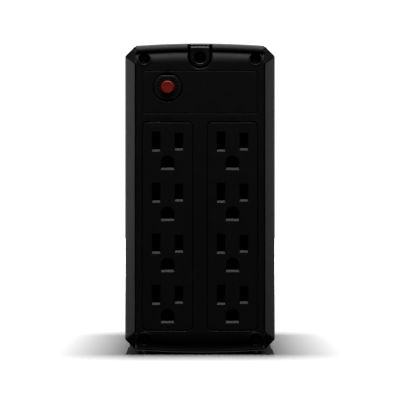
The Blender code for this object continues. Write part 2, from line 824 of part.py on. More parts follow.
def reset_button():
    """Red push button on the breaker's axis, with a domed edge."""
    radius, edge = BUTTON_RADIUS, 0.9 * MM
    profile = [
        (0, 13.5 * MM),
        (radius, 13.5 * MM),
        (radius, edge - BUTTON_PROUD),
        (radius - 0.3 * edge, 0.3 * edge - BUTTON_PROUD),
        (radius - edge, -BUTTON_PROUD),
        (0, -BUTTON_PROUD),
    ]
    button = turned("reset_button", profile, (BREAKER_X, REAR, BREAKER_Z), 24)
    return finish(button, "reset_red", smooth=True)


def turned(name, profile, centre, sides, closed=False):
    """A solid of revolution about Y. The profile is (radius, distance along Y), far end first."""
    outline = bmesh.new()
    verts = [outline.verts.new((radius, 0, along)) for radius, along in profile]
    for pair in zip(verts, verts[1:]):
        outline.edges.new(pair)
    if closed:
        outline.edges.new((verts[-1], verts[0]))
    turn = Vector((0, 0, 1)).rotation_difference(AXIS["Y"]).to_matrix().to_4x4()
    obj = object_from(name, outline, Matrix.Translation(centre) @ turn)
    screw = obj.modifiers.new("Turn", "SCREW")
    screw.steps = sides
    screw.render_steps = sides
    screw.use_merge_vertices = True
    screw.merge_threshold = 0.01 * MM
    return obj


def rear_screws():
    """Pan-head cross-recess screws at the bottom of the wells."""
    head, shank = 2.0 * MM, 16 * MM
    for number, (x, z) in enumerate(screw_places(), 1):
        seat = SCREW_SEAT_Y - FIT_GAP
        screw = cylinder(f"rear_screw_{number}", (x, seat - head, z), "Y", head, 2.4 * MM, 20, 2.8 * MM)
        join(screw, cylinder("shank", (x, seat - 0.5 * MM, z), "Y", shank, 1.6 * MM, 12))
        reach, half = 1.6 * MM, 0.35 * MM
        arms = [
            box("arm", (x - dx, seat - head - MM, z - dz), (x + dx, seat - 0.8 * MM, z + dz))
            for dx, dz in ((reach, half), (half, reach))
        ]
        cut(screw, *arms)
        finish(screw, "black_steel", smooth=True)


# Front panel, power button and battery door


def front_panel():
    """Upper part of the front: band and lip as on the rear, holes for the button and the lights."""
    panel = end_panel("front_panel", 1, low=DOOR_TOP + FIT_GAP)
    shapes = [
        cylinder("button_hole", (0, FRONT - 6 * MM, POWER_Z), "Y", 8 * MM, RING_RADIUS + FIT_GAP, 40),
        *[
            cylinder("status_hole", (x, FRONT - 6 * MM, STATUS_Z), "Y", 8 * MM, STATUS_RADIUS + FIT_GAP, 16)
            for x in status_places()
        ],
    ]
    cut(panel, *shapes)
    return finish(panel, "gloss_black")


def status_places():
    return (-STATUS_PITCH, 0, STATUS_PITCH)


def status_light_pipe():
    """Three clear pins on one bar behind the front panel."""
    inner = FRONT - PANEL_WALL - FIT_GAP
    pipe = box(
        "status_light_pipe",
        (-STATUS_PITCH - 2 * MM, inner - 2 * MM, STATUS_Z - 2 * MM),
        (STATUS_PITCH + 2 * MM, inner, STATUS_Z + 2 * MM),
    )
    pins = [
        cylinder("pin", (x, inner - MM, STATUS_Z), "Y", FRONT - inner + MM + 0.1 * MM, STATUS_RADIUS, 16)
        for x in status_places()
    ]
    join(pipe, *pins)
    return finish(pipe, "lens", smooth=True)


def power_button():
    """Dished round cap with a stem that reaches into the switch, and its trim ring."""
    rim, rest = 1.6 * MM, 2.6 * MM
    cap_profile = [
        (0, 0.8 * MM),
        (5.2 * MM, 1.1 * MM),
        (POWER_RADIUS - 0.6 * MM, rim),
        (POWER_RADIUS, rim - 0.6 * MM),
        (POWER_RADIUS, -rest),
        (STEM_RADIUS, -rest),
        (STEM_RADIUS, -STEM_LENGTH),
        (0, -STEM_LENGTH),
    ]
    cap = turned("power_button", cap_profile, (0, FRONT, POWER_Z), 28)
    finish(cap, "gloss_black", smooth=True)
    inner, outer, back = POWER_RADIUS + FIT_GAP, RING_RADIUS, -2.2 * MM
    ring_profile = [
        (inner, BUTTON_PROUD),
        (outer - 0.75 * MM, BUTTON_PROUD),
        (outer, BUTTON_PROUD - 1.2 * MM),
        (outer, back),
        (inner, back),
    ]
    ring = turned("power_button_ring", ring_profile, (0, FRONT, POWER_Z), 28, closed=True)
    finish(ring, "bright_steel", smooth=True)


CONTROL_BOARD_Y = FRONT - 14.8 * MM


def control_board():
    """Upright board behind the front panel with the power switch on it."""
    board = box(
        "control_board",
        (-29 * MM, CONTROL_BOARD_Y - BOARD_THICKNESS, BOARD_Z + 3 * MM),
        (29 * MM, CONTROL_BOARD_Y, POWER_Z + 15 * MM),
    )
    finish(board, "board_green")
    body = box(
        "power_switch_body",
        (-3 * MM, CONTROL_BOARD_Y + 0.3 * MM, POWER_Z - 3 * MM),
        (3 * MM, CONTROL_BOARD_Y + 3.9 * MM, POWER_Z + 3 * MM),
    )
    bore_start = (0, CONTROL_BOARD_Y + MM, POWER_Z)
    cut(body, cylinder("stem_bore", bore_start, "Y", 6 * MM, STEM_RADIUS + FIT_GAP, 16))
    finish(body, "sleeve_black")


def battery_door():
    """Lower front cover that tips forward on a knuckle along its foot."""
    wall = PANEL_WALL
    knuckle = arc((HINGE_Y, HINGE_Z), KNUCKLE_RADIUS, 190, 350, 10)
    face, inner = FRONT, FRONT - wall
    outline = [
        (face, DOOR_TOP),
        (inner, DOOR_TOP),
        (inner, HINGE_Z + 6 * MM),
        (HINGE_Y - KNUCKLE_RADIUS, HINGE_Z + 1.5 * MM),
        *knuckle,
        (face, HINGE_Z + 7 * MM),
    ]
    door = prism("battery_door", [outline], "X", -SPINE_HALF, SPINE_HALF)
    gap = 0.4 * MM
    notches = [
        box(
            "ear_notch",
            (side * EAR_X - EAR_HALF - gap, HINGE_Y - 6 * MM, HINGE_Z - 4 * MM),
            (side * EAR_X + EAR_HALF + gap, HINGE_Y + 2.6 * MM, HINGE_Z + 5 * MM),
        )
        for side in (-1, 1)
    ]
    scoop = cylinder("finger_scoop", (0, FRONT + 5.4 * MM, DOOR_TOP - 4 * MM), "Z", 8 * MM, 7.5 * MM, 24)
    bores = [cylinder("pin_bore", (-40 * MM, HINGE_Y, HINGE_Z), "X", 80 * MM, PIN_BORE, 16)]
    cut(door, *notches, *bores, scoop)
    finish(door, "gloss_black")
    for label, side in (("left", -1), ("right", 1)):
        centre = side * EAR_X
        start = centre - PIN_LENGTH / 2
        pin = cylinder(f"{label}_hinge_pin", (start, HINGE_Y, HINGE_Z), "X", PIN_LENGTH, PIN_RADIUS, 16)
        finish(pin, "bright_steel", smooth=True)


# Inside the body


def component_shelf():
    """Tray between the side shells that carries the main board over the battery."""
    half = HALF_WIDTH - WALL - 0.8 * MM
    shelf = box(
        "component_shelf",
        (-half, -110 * MM, SHELF_Z),
        (half, 116 * MM, SHELF_Z + SHELF_THICKNESS),
    )
    posts = [
        cylinder("standoff", (x, y, SHELF_Z + MM), "Z", BOARD_Z - FIT_GAP - SHELF_Z - MM, 3 * MM, 12)
        for x, y in board_screw_places()
    ]
    join(shelf, *posts)
    below = SHELF_Z - MM
    holes = [cylinder("pilot", (x, y, below), "Z", 20 * MM, 1.5 * MM, 12) for x, y in board_screw_places()]
    lead_slot = box("lead_slot", (-30 * MM, 108 * MM, SHELF_Z - MM), (30 * MM, 113 * MM, SHELF_Z + 4 * MM))
    cut(shelf, *holes, lead_slot)
    return finish(shelf, "sleeve_black")


def board_screw_places():
    return [(x, y) for x in (-29 * MM, 29 * MM) for y in (BOARD_BACK + 5 * MM, BOARD_FRONT - 5 * MM)]


def main_board():
    board = box(
        "main_board",
        (-BOARD_HALF, BOARD_BACK, BOARD_Z),
        (BOARD_HALF, BOARD_FRONT, BOARD_Z + BOARD_THICKNESS),
    )
    below = BOARD_Z - MM
    cut(board, *[cylinder("hole", (x, y, below), "Z", 4 * MM, 1.7 * MM, 12) for x, y in board_screw_places()])
    finish(board, "board_green")
    for number, (x, y) in enumerate(board_screw_places()[::3], 1):
        seat = BOARD_Z + BOARD_THICKNESS + FIT_GAP
        screw = cylinder(f"board_screw_{number}", (x, y, seat), "Z", 1.8 * MM, 2.7 * MM, 16, 2.3 * MM)
        join(screw, cylinder("shank", (x, y, seat - 6 * MM), "Z", 7 * MM, 1.3 * MM, 12))
        finish(screw, "bright_steel", smooth=True)


def heatsink(name, side):
    """Finned aluminium extrusion along one edge of the main board."""
    root, tip, base = 20 * MM, 31 * MM, 3 * MM
    fin, pitch, count = 1.6 * MM, 7 * MM, 5
    outline = [(side * root, BOARD_TOP)]
    for i in range(count):
        low = BOARD_TOP + i * pitch
        outline += [(side * tip, low), (side * tip, low + fin)]
        if i < count - 1:
            outline += [(side * (root + base), low + fin), (side * (root + base), low + pitch)]
    outline.append((side * root, BOARD_TOP + (count - 1) * pitch + fin))
    sink = prism(name, [outline], "Y", -25 * MM, 55 * MM)
    return finish(sink, "aluminium")


def board_components():
    heatsink("left_heatsink", -1)
    heatsink("right_heatsink", 1)
    relay_size = Vector((16, 20, 16)) * MM
    for number, (x, y) in enumerate(((-14, -62), (14, -62)), 1):
        low = Vector((x * MM, y * MM, BOARD_TOP)) - Vector((relay_size.x / 2, relay_size.y / 2, 0))
        finish(box(f"relay_{number}", low, low + relay_size), "relay_blue")
    for number, x in enumerate((-11, 11), 1):
        can = cylinder(f"bulk_capacitor_{number}", (x * MM, 82 * MM, BOARD_TOP), "Z", 32 * MM, 9 * MM, 20)
        finish(can, "sleeve_black", smooth=True)
    film = box("film_capacitor", (-13 * MM, -92 * MM, BOARD_TOP), (13 * MM, -82 * MM, BOARD_TOP + 14 * MM))
    finish(film, "film_yellow")
    buzzer = cylinder("buzzer", (25 * MM, 88 * MM, BOARD_TOP), "Z", 9 * MM, 6 * MM, 20)
    cut(buzzer, cylinder("sound_hole", (25 * MM, 88 * MM, BOARD_TOP + 6 * MM), "Z", 6 * MM, 1.2 * MM, 10))
    finish(buzzer, "sleeve_black", smooth=True)
    choke_outline = [arc((0, 8 * MM), 13 * MM, 0, 345, 23), arc((0, 8 * MM), 6 * MM, 0, 330, 11)]
    finish(prism("filter_choke", choke_outline, "Z", BOARD_TOP, BOARD_TOP + 12 * MM), "copper_winding")


def core_middle():
    return Vector((0, CORE_BACK + CORE_SIZE.y / 2, CORE_BOTTOM + CORE_SIZE.z / 2))


WINDOW_HEIGHT = 12.7 * MM
WINDOW_LENGTH = 35 * MM
LEG_HALF = 12.7 * MM


def transformer():
    """Laminated core, the winding on its centre leg, and the strap that holds it down."""
    middle = core_middle()
    core = box("transformer_core", middle - CORE_SIZE / 2, middle + CORE_SIZE / 2)
    windows = []
    for sign in (-1, 1):
        centre = middle + Vector((0, 0, sign * (LEG_HALF + WINDOW_HEIGHT / 2)))
        size = Vector((2 * CORE_SIZE.x, WINDOW_LENGTH, WINDOW_HEIGHT))
        windows.append(box("window", centre - size / 2, centre + size / 2))
    cut(core, *windows)
    finish(core, "core_steel")
    outer_z = LEG_HALF + WINDOW_HEIGHT - FIT_GAP
    outlines = [
        rounded_rectangle((0, middle.z), 64 * MM, 2 * outer_z, 5 * MM),
        rectangle((0, middle.z), CORE_SIZE.x + 2 * FIT_GAP, 2 * (LEG_HALF + FIT_GAP)),
    ]
    half_length = WINDOW_LENGTH / 2 - FIT_GAP
    winding = prism("transformer_winding", outlines, "Y", middle.y - half_length, middle.y + half_length)
    finish(winding, "copper_winding")
    transformer_strap(middle)


STRAP_HALF = 17 * MM
STRAP_THICKNESS = 1.4 * MM
STRAP_FOOT = 12 * MM


def strap_screw_places():
    middle = core_middle()
    reach = CORE_SIZE.y / 2 + STRAP_THICKNESS + STRAP_FOOT / 2 + FIT_GAP
    return [(0, middle.y - reach), (0, middle.y + reach)]


def transformer_strap(middle):
    """Steel band over the core, with a foot at each end that is screwed to the tray."""
    inner = CORE_SIZE.y / 2 + FIT_GAP
    outer = inner + STRAP_THICKNESS
    foot = outer + STRAP_FOOT
    low, top = CORE_BOTTOM - FIT_GAP, CORE_BOTTOM + CORE_SIZE.z + FIT_GAP
    half = [(inner, low), (foot, low), (foot, low + STRAP_THICKNESS), (outer, low + STRAP_THICKNESS)]
    right = [*half, (outer, top + STRAP_THICKNESS)]
    left = [(-y, z) for y, z in reversed(right)]
    outline = [*right, *left, (-inner, top), (inner, top)]
    outline = [(middle.y + y, z) for y, z in outline]
    strap = prism("transformer_strap", [outline], "X", -STRAP_HALF, STRAP_HALF)
    places = strap_screw_places()
    cut(strap, *[cylinder("hole", (x, y, low - MM), "Z", 5 * MM, 2 * MM, 12) for x, y in places])
    finish(strap, "bright_steel")
    for number, (x, y) in enumerate(places, 1):
        seat = low + STRAP_THICKNESS + FIT_GAP
        screw = cylinder(f"strap_screw_{number}", (x, y, seat), "Z", 2.4 * MM, 3.4 * MM, 16, 3 * MM)
        join(screw, cylinder("shank", (x, y, seat - 6 * MM), "Z", 7 * MM, 1.45 * MM, 12))
        finish(screw, "bright_steel", smooth=True)


TERMINAL_X = 22 * MM
TERMINAL_Y = BATTERY_BACK + BATTERY_SIZE.y - 12 * MM


def battery():
    """Sealed lead-acid block with two blade terminals at its front end."""
    low = Vector((-BATTERY_SIZE.x / 2, BATTERY_BACK, BATTERY_BOTTOM))
    high = low + BATTERY_SIZE
    case = box("battery_case", low, high)
    rebate = 0.8 * MM
    lid_z = high.z - 9 * MM
    lid_line = prism(
        "lid_line",
        [
            rectangle((0, (low.y + high.y) / 2), BATTERY_SIZE.x + 4 * MM, BATTERY_SIZE.y + 4 * MM),
            rectangle((0, (low.y + high.y) / 2), BATTERY_SIZE.x - 2 * rebate, BATTERY_SIZE.y - 2 * rebate),
        ],
        "Z",
        lid_z,
        lid_z + rebate,
    )
    wells = [
        box(
            "terminal_well",
            (x - 5.5 * MM, TERMINAL_Y - 5.5 * MM, high.z - 3 * MM),
            (x + 5.5 * MM, TERMINAL_Y + 5.5 * MM, high.z + 3 * MM),
        )
        for x in (-TERMINAL_X, TERMINAL_X)
    ]
    cut(case, lid_line, *wells)
    finish(case, "battery_grey")
    for name, x in (("battery_positive_terminal", -TERMINAL_X), ("battery_negative_terminal", TERMINAL_X)):
        blade = box(
            name,
            (x - 3.2 * MM, TERMINAL_Y - 0.4 * MM, high.z - 3 * MM + FIT_GAP),
            (x + 3.2 * MM, TERMINAL_Y + 0.4 * MM, high.z + 5 * MM),
        )
        finish(blade, "brass")
    battery_leads(high.z + 5 * MM)


def battery_leads(start_z):
    """Wires from the terminals up through the shelf to the front edge of the main board."""
    for name, x, finish_name in (
        ("battery_positive_lead", -TERMINAL_X, "wire_red"),
        ("battery_negative_lead", TERMINAL_X, "wire_black"),
    ):
        inward = -math.copysign(1, x)
        points = [
            (x, TERMINAL_Y, start_z + FIT_GAP),
            (x, TERMINAL_Y, start_z + 5 * MM),
            (x + inward * 3 * MM, TERMINAL_Y + 1.5 * MM, BOARD_TOP + 4 * MM),
            (x + inward * 5 * MM, TERMINAL_Y - 2 * MM, BOARD_TOP + 12 * MM),
            (x + inward * 4 * MM, 98 * MM, BOARD_TOP + 8 * MM),
            (x + inward * 4 * MM, 97 * MM, BOARD_TOP),
        ]
        finish(tube(name, points, 1.6 * MM), finish_name, smooth=True)


def set_origin(name, point):
    """Moves a part's origin to the point, leaving its shape where it is."""
    obj = bpy.data.objects[name]
    shift = obj.matrix_world.inverted() @ Vector(point)
    obj.data.transform(Matrix.Translation(-shift))
    obj.matrix_world = obj.matrix_world @ Matrix.Translation(shift)


def build():
    rear_panel()
    side_shell("left_side_shell", -1)
    side_shell("right_side_shell", 1)
    top_cover()
    base_tray()
    feet()
    for label, side in (("left", -1), ("right", 1)):
        outlet_block(f"{label}_outlet_block", side)
        outlet_internals(label, side)
    cord_gland()
    reset_breaker()
    reset_button()
    rear_screws()
    front_panel()
    status_light_pipe()
    power_button()
    control_board()
    battery_door()
    component_shelf()
    main_board()
    board_components()
    transformer()
    battery()
    set_origin("battery_door", (0, HINGE_Y, HINGE_Z))


build()
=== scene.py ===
"""Looks of the mini-tower uninterruptible power supply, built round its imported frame.

Metres, +Z up, outlet face towards -Y. The shells, outlets and controls that show are remade here as fine
meshes that stand for their frame nodes. What lies inside keeps its frame shape and gets a material, and
its larger pieces get softened edges.
"""

import json
import math

import bmesh
import bpy
import numpy as np
from mathutils import Matrix, Vector
from mathutils.geometry import delaunay_2d_cdt


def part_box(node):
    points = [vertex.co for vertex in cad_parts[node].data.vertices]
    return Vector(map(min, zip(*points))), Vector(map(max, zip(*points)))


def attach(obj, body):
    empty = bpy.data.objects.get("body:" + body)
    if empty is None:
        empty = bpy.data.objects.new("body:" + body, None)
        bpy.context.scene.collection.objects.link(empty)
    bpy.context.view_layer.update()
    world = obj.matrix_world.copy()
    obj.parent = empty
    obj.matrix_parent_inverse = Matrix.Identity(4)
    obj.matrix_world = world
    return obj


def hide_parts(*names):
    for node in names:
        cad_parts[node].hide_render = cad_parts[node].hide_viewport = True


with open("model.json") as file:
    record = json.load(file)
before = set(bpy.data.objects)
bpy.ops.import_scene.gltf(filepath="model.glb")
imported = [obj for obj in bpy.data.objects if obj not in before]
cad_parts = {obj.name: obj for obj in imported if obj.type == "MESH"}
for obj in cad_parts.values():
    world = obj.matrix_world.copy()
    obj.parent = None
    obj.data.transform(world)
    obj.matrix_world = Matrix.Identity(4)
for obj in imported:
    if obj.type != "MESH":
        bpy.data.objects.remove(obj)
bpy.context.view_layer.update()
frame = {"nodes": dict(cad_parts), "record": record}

MM = 0.001

# The body, read from the frame
PANEL_LOW, PANEL_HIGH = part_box("rear_panel")
REAR = PANEL_LOW.y
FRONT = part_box("front_panel")[1].y
BODY_BOTTOM = PANEL_LOW.z
BODY_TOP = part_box("top_cover")[1].z
PANEL_HALF = PANEL_HIGH.x
HALF_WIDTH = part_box("right_side_shell")[1].x
SHELL_EDGE = PANEL_HALF + 0.4 * MM
SEAM_X = PANEL_HALF + 0.2 * MM

# Rolled lip and sloped band, as in the frame
CROWN = 1.3 * MM
BAND_HEIGHT = 11.2 * MM
BAND_RADIUS = 12 * MM
LIP_RADIUS = 3.2 * MM
LIP_SETBACK = 3.6 * MM
VALLEY = 4.15 * MM
VALLEY_GROOVE = 0.7 * MM
VALLEY_WIDTH = 0.3 * MM
COVE_TOP = 4.3 * MM  # height over the lower edge at which the lower band turns outwards again
COVE_UPRIGHT = 2.7 * MM  # height at which it stands upright
COVE_LEAN = 0.42  # its slope at the edge
COVE_GROOVE = 0.55 * MM  # height of the joint line in it
PANEL_THICKNESS = 2.4 * MM
EDGE_TOP = BODY_TOP - CROWN
EDGE_BOTTOM = BODY_BOTTOM + CROWN
CORNER = HALF_WIDTH - SEAM_X

# Outlets
BANKS = {side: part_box(f"{side}_outlet_block") for side in ("left", "right")}
SIDE_SIGN = {"left": -1, "right": 1}
COLUMN_X = 18.0 * MM
BANK_WIDTH = 27.8 * MM
BANK_HEIGHT = 115.1 * MM
BANK_Z = 71.25 * MM
BANK_SIDE_GAP = 0.18 * MM
BANK_END_GAP = 0.58 * MM
BANK_RADIUS = 2.8 * MM
BANK_SETBACK = BANKS["left"][0].y - REAR
BANK_DEPTH = 16 * MM
BANK_WALL = 9 * MM
OUTLET_PITCH = 28.33 * MM
TOP_OUTLET_Z = 118.25 * MM
OUTLET_ROWS = 4
BLADE_X = 6.35 * MM
GROUND_DROP = 11.6 * MM
SLOT_WIDTH = 2.4 * MM
NEUTRAL_HEIGHT = 8.8 * MM
LINE_HEIGHT = 7.5 * MM
LEAD_IN = 1.15 * MM
SLOT_HEADROOM = 1.15 * MM
GROUND_RADIUS = 2.65 * MM
GROUND_LENGTH = 5.6 * MM

# Other features of the rear panel
BREAKER_Z = 148.3 * MM
BREAKER_HOLE = 8.15 * MM
COLLAR_RADIUS = 7.75 * MM
COLLAR_FLAT = 6.7 * MM
BUTTON_BORE = 4.1 * MM
GLAND_Z = 165.3 * MM
GLAND_SLOT = 6.65 * MM
GLAND_NOSE = 5.4 * MM
GLAND_BORE = 3.25 * MM
GLAND_BORE_Z = 164.9 * MM
GLAND_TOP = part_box("cord_gland")[1].z
LABEL_WIDTH = 64.3 * MM
LABEL_BOTTOM = 133.65 * MM
LABEL_TOP = 157.65 * MM
SCREW_X = 30.85 * MM
SCREW_Z = (164.3 * MM, 8.6 * MM)
SCREW_WELL = 3.0 * MM
SCREW_SEAT = 10 * MM

# Front
POWER_Z = 143.0 * MM
STATUS_Z = 122.0 * MM
STATUS_X = (-9 * MM, 0.0, 9 * MM)
STATUS_RADIUS = 1.25 * MM


# Materials


class Graph:
    """A material under construction: a Principled shader and the nodes that feed it."""

    def __init__(self, name, colour, roughness, metallic=0.0):
        self.material = bpy.data.materials.new(name)
        self.material.use_nodes = True
        self.tree = self.material.node_tree
        self.shader = self.tree.nodes["Principled BSDF"]
        self.set("Base Color", (*colour, 1))
        self.set("Roughness", roughness)
        self.set("Metallic", metallic)
        self.place = self.tree.nodes.new("ShaderNodeTexCoord").outputs["Object"]

    def set(self, socket, value):
        self.shader.inputs[socket].default_value = value

    def link(self, out, into):
        self.tree.links.new(out, into)

    def node(self, kind, **settings):
        node = self.tree.nodes.new(kind)
        for key, value in settings.items():
            setattr(node, key, value)
        return node

    def noise(self, size, detail=2.0, stretch=(1, 1, 1)):
        """Noise whose features are about this size, in metres. It varies round 0.5."""
        mapping = self.node("ShaderNodeMapping")
        mapping.inputs["Scale"].default_value = stretch
        self.link(self.place, mapping.inputs["Vector"])
        noise = self.node("ShaderNodeTexNoise")
        noise.inputs["Scale"].default_value = 1 / size
        noise.inputs["Detail"].default_value = detail
        self.link(mapping.outputs["Vector"], noise.inputs["Vector"])
        return noise.outputs["Fac"]

    def ramp(self, value, low, high, start=0.35, end=0.65):
        """Maps a value from start..end to low..high."""
        range_node = self.node("ShaderNodeMapRange")
        range_node.inputs["From Min"].default_value = start
        range_node.inputs["From Max"].default_value = end
        range_node.inputs["To Min"].default_value = low
        range_node.inputs["To Max"].default_value = high
        self.link(value, range_node.inputs["Value"])
        return range_node.outputs["Result"]

    def colour_between(self, value, first, second):
        ramp = self.node("ShaderNodeValToRGB")
        ramp.color_ramp.elements[0].position = 0.35
        ramp.color_ramp.elements[1].position = 0.65
        ramp.color_ramp.elements[0].color = (*first, 1)
        ramp.color_ramp.elements[1].color = (*second, 1)
        self.link(value, ramp.inputs["Fac"])
        self.link(ramp.outputs["Color"], self.shader.inputs["Base Color"])

    def roughen(self, value, low, high):
        self.link(self.ramp(value, low, high), self.shader.inputs["Roughness"])

    def bump(self, height, depth, before=None):
        """Raises the surface by up to depth, in metres. Bumps chain through before."""
        bump = self.node("ShaderNodeBump")
        bump.inputs["Strength"].default_value = 1.0
        bump.inputs["Distance"].default_value = depth
        self.link(height, bump.inputs["Height"])
        if before is not None:
            self.link(before, bump.inputs["Normal"])
        self.link(bump.outputs["Normal"], self.shader.inputs["Normal"])
        return bump.outputs["Normal"]


def moulded(name, colour, roughness, grain=0.28 * MM, depth=0.006 * MM, spread=0.15):
    """Injection-moulded plastic with a spark-eroded grain and slight patches of shine."""
    graph = Graph(name, colour, roughness)
    patches = graph.noise(9 * MM, 3)
    graph.colour_between(patches, [c * (1 - spread) for c in colour], [c * (1 + spread) for c in colour])
    graph.roughen(graph.noise(1.2 * MM, 4), roughness - 0.02, roughness + 0.02)
    coarse = graph.bump(graph.noise(grain, 3), depth)
    graph.bump(graph.noise(30 * MM, 1), 0.01 * MM, coarse)
    graph.set("Specular IOR Level", 0.5)
    return graph.material


def polished(name, colour, roughness, coat=0.0):
    """Gloss plastic: almost even, with faint haze and orange peel."""
    graph = Graph(name, colour, roughness)
    haze = graph.noise(5 * MM, 4)
    graph.colour_between(haze, [c * 0.85 for c in colour], [c * 1.15 for c in colour])
    graph.roughen(haze, roughness * 0.8, roughness * 1.3)
    graph.bump(graph.noise(3 * MM, 1), 0.004 * MM)
    graph.set("Coat Weight", coat)
    graph.set("Coat Roughness", 0.1)
    return graph.material


def metal(name, colour, roughness, brushed=(1, 1, 1), grain=0.25 * MM, depth=0.004 * MM):
    """Metal with streaks along the axis that has the small stretch, and small stains."""
    graph = Graph(name, colour, roughness, 1.0)
    streaks = graph.noise(grain, 3, brushed)
    graph.colour_between(graph.noise(4 * MM, 4), [c * 0.8 for c in colour], colour)
    graph.roughen(streaks, roughness * 0.75, roughness * 1.3)
    graph.bump(streaks, depth)
    return graph.material


def board(name):
    """Green solder mask with faint copper tracks under it."""
    graph = Graph(name, (0.02, 0.12, 0.05), 0.4)
    tracks = graph.noise(2.2 * MM, 0, (1, 0.25, 1))
    graph.colour_between(tracks, (0.012, 0.085, 0.035), (0.03, 0.16, 0.07))
    graph.roughen(tracks, 0.32, 0.5)
    graph.bump(tracks, 0.02 * MM)
    return graph.material


def windings(name):
    """Enamelled copper wire laid side by side, as fine ribs."""
    graph = Graph(name, (0.45, 0.17, 0.06), 0.35, 1.0)
    wave = graph.node("ShaderNodeTexWave", wave_type="BANDS", bands_direction="Y")
    wave.inputs["Scale"].default_value = 0.35 / MM
    wave.inputs["Distortion"].default_value = 0.4
    graph.link(graph.place, wave.inputs["Vector"])
    graph.colour_between(graph.noise(3 * MM, 3), (0.36, 0.12, 0.04), (0.52, 0.21, 0.08))
    graph.roughen(wave.outputs["Fac"], 0.28, 0.5)
    graph.bump(wave.outputs["Fac"], 0.12 * MM)
    return graph.material


def laminations(name):
    """Stack of varnished steel sheets, seen as fine lines across X."""
    graph = Graph(name, (0.22, 0.21, 0.20), 0.5, 1.0)
    wave = graph.node("ShaderNodeTexWave", wave_type="BANDS", bands_direction="X")
    wave.inputs["Scale"].default_value = 0.3 / MM
    graph.link(graph.place, wave.inputs["Vector"])
    graph.colour_between(graph.noise(6 * MM, 4), (0.14, 0.12, 0.10), (0.26, 0.25, 0.24))
    graph.roughen(wave.outputs["Fac"], 0.4, 0.65)
    graph.bump(wave.outputs["Fac"], 0.05 * MM)
    return graph.material


def clear_lens(name):
    graph = Graph(name, (0.75, 0.78, 0.8), 0.15)
    graph.roughen(graph.noise(1 * MM, 2), 0.1, 0.25)
    graph.bump(graph.noise(0.8 * MM, 2), 0.01 * MM)
    graph.set("Transmission Weight", 0.6)
    graph.set("IOR", 1.49)
    return graph.material


MATERIALS = {
    "panel_plastic": moulded("panel_moulding", (0.0090, 0.0090, 0.0095), 0.42),
    "shell_plastic": moulded("shell_moulding", (0.0095, 0.0095, 0.0100), 0.36, 0.22 * MM, 0.004 * MM),
    "outlet_plastic": moulded("outlet_moulding", (0.0085, 0.0085, 0.0090), 0.43),
    "gloss_plastic": polished("gloss_black", (0.006, 0.006, 0.0065), 0.12, 0.3),
    "reset_plastic": polished("reset_red", (0.55, 0.040, 0.022), 0.28, 0.7),
    "rubber": moulded("rubber_black", (0.014, 0.014, 0.014), 0.6, 0.35 * MM, 0.01 * MM),
    "black_steel": metal("black_oxide_steel", (0.22, 0.22, 0.225), 0.24),
    "bright_steel": metal("zinc_plated_steel", (0.62, 0.63, 0.65), 0.28, (1, 0.1, 1)),
    "core_steel": laminations("core_laminations"),
    # Brass darkened far below tarnished brass: painted shade, so the contacts deep behind the outlet slots
    # read black
    "brass": metal("brass_darkened_as_painted_shade", (0.055, 0.042, 0.026), 0.5, (1, 1, 0.1)),
    "winding": windings("copper_windings"),
    "aluminium": metal("extruded_aluminium", (0.72, 0.73, 0.75), 0.33, (1, 0.05, 1)),
    "circuit_board": board("green_board"),
    "battery_plastic": moulded("battery_case_plastic", (0.06, 0.064, 0.068), 0.5, 0.4 * MM, 0.02 * MM),
    "relay_plastic": polished("relay_blue", (0.03, 0.08, 0.25), 0.3),
    "film_plastic": polished("film_yellow", (0.6, 0.42, 0.05), 0.35),
    "sleeve": polished("sleeve_black", (0.012, 0.012, 0.014), 0.3),
    "red_insulation": polished("red_insulation", (0.45, 0.02, 0.02), 0.4),
    "black_insulation": polished("black_insulation", (0.015, 0.015, 0.015), 0.45),
    "lens": clear_lens("status_lens"),
    "collar_plastic": moulded("collar_moulding", (0.020, 0.020, 0.021), 0.36),
    "gland_rubber": polished("gland_rubber", (0.020, 0.020, 0.021), 0.24, 0.8),
}


# Outlines: points (x, z, dx, dz). (dx, dz) is the way a point moves as the outline grows into the material


def even(start, end, count):
    """Values from start to end in this many equal steps."""
    return [start + (end - start) * i / count for i in range(count + 1)]


def circle(x, z, radius, steps=48):
    outline = []
    for angle in even(0, 2 * math.pi, steps)[:-1]:
        c, s = math.cos(angle), math.sin(angle)
        outline.append((x + radius * c, z + radius * s, c, s))
    return outline


def corner_arc(x, z, radius, start, mitred, steps):
    """A quarter circle. Mitred, it keeps its radius as the outline grows."""
    points = []
    for i in range(steps + 1):
        angle = math.radians(start + 90 * i / steps)
        c, s = math.cos(angle), math.sin(angle)
        way = (c, s)
        if mitred:
            middle = math.radians(start + 45)
            way = (math.sqrt(2) * math.cos(middle), math.sqrt(2) * math.sin(middle))
        points.append((x + radius * c, z + radius * s, *way))
    return points


def rounded_rectangle(x, z, width, height, radius, mitred=False, steps=6):
    dx, dz = width / 2 - radius, height / 2 - radius
    corners = ((dx, dz, 0), (-dx, dz, 90), (-dx, -dz, 180), (dx, -dz, 270))
    return [p for cx, cz, start in corners for p in corner_arc(x + cx, z + cz, radius, start, mitred, steps)]


def arched_hole(x, z, radius, length):
    """Half round above, flat below, with small corners."""
    small = 0.3 * MM
    outline = []
    steps = 20
    for i in range(steps + 1):
        angle = math.pi * i / steps
        c, s = math.cos(angle), math.sin(angle)
        outline.append((x + radius * c, z + radius * s, c, s))
    floor = z - (length - radius)
    outline += corner_arc(x - radius + small, floor + small, small, 180, True, 3)
    outline += corner_arc(x + radius - small, floor + small, small, 270, True, 3)
    return outline


def inwards(outline):
    """The same outline as an outer edge, so that growing moves it into the piece."""
    return [(x, z, -dx, -dz) for x, z, dx, dz in outline]


def fillet(radius, steps=4):
    """Edge profile of a quarter circle: (growth, depth) from the surface down to the wall."""
    return [
        (radius * (1 - math.sin(a)), radius * (1 - math.cos(a)))
        for a in even(0, math.pi / 2, steps)
    ]


# Panels built from edges


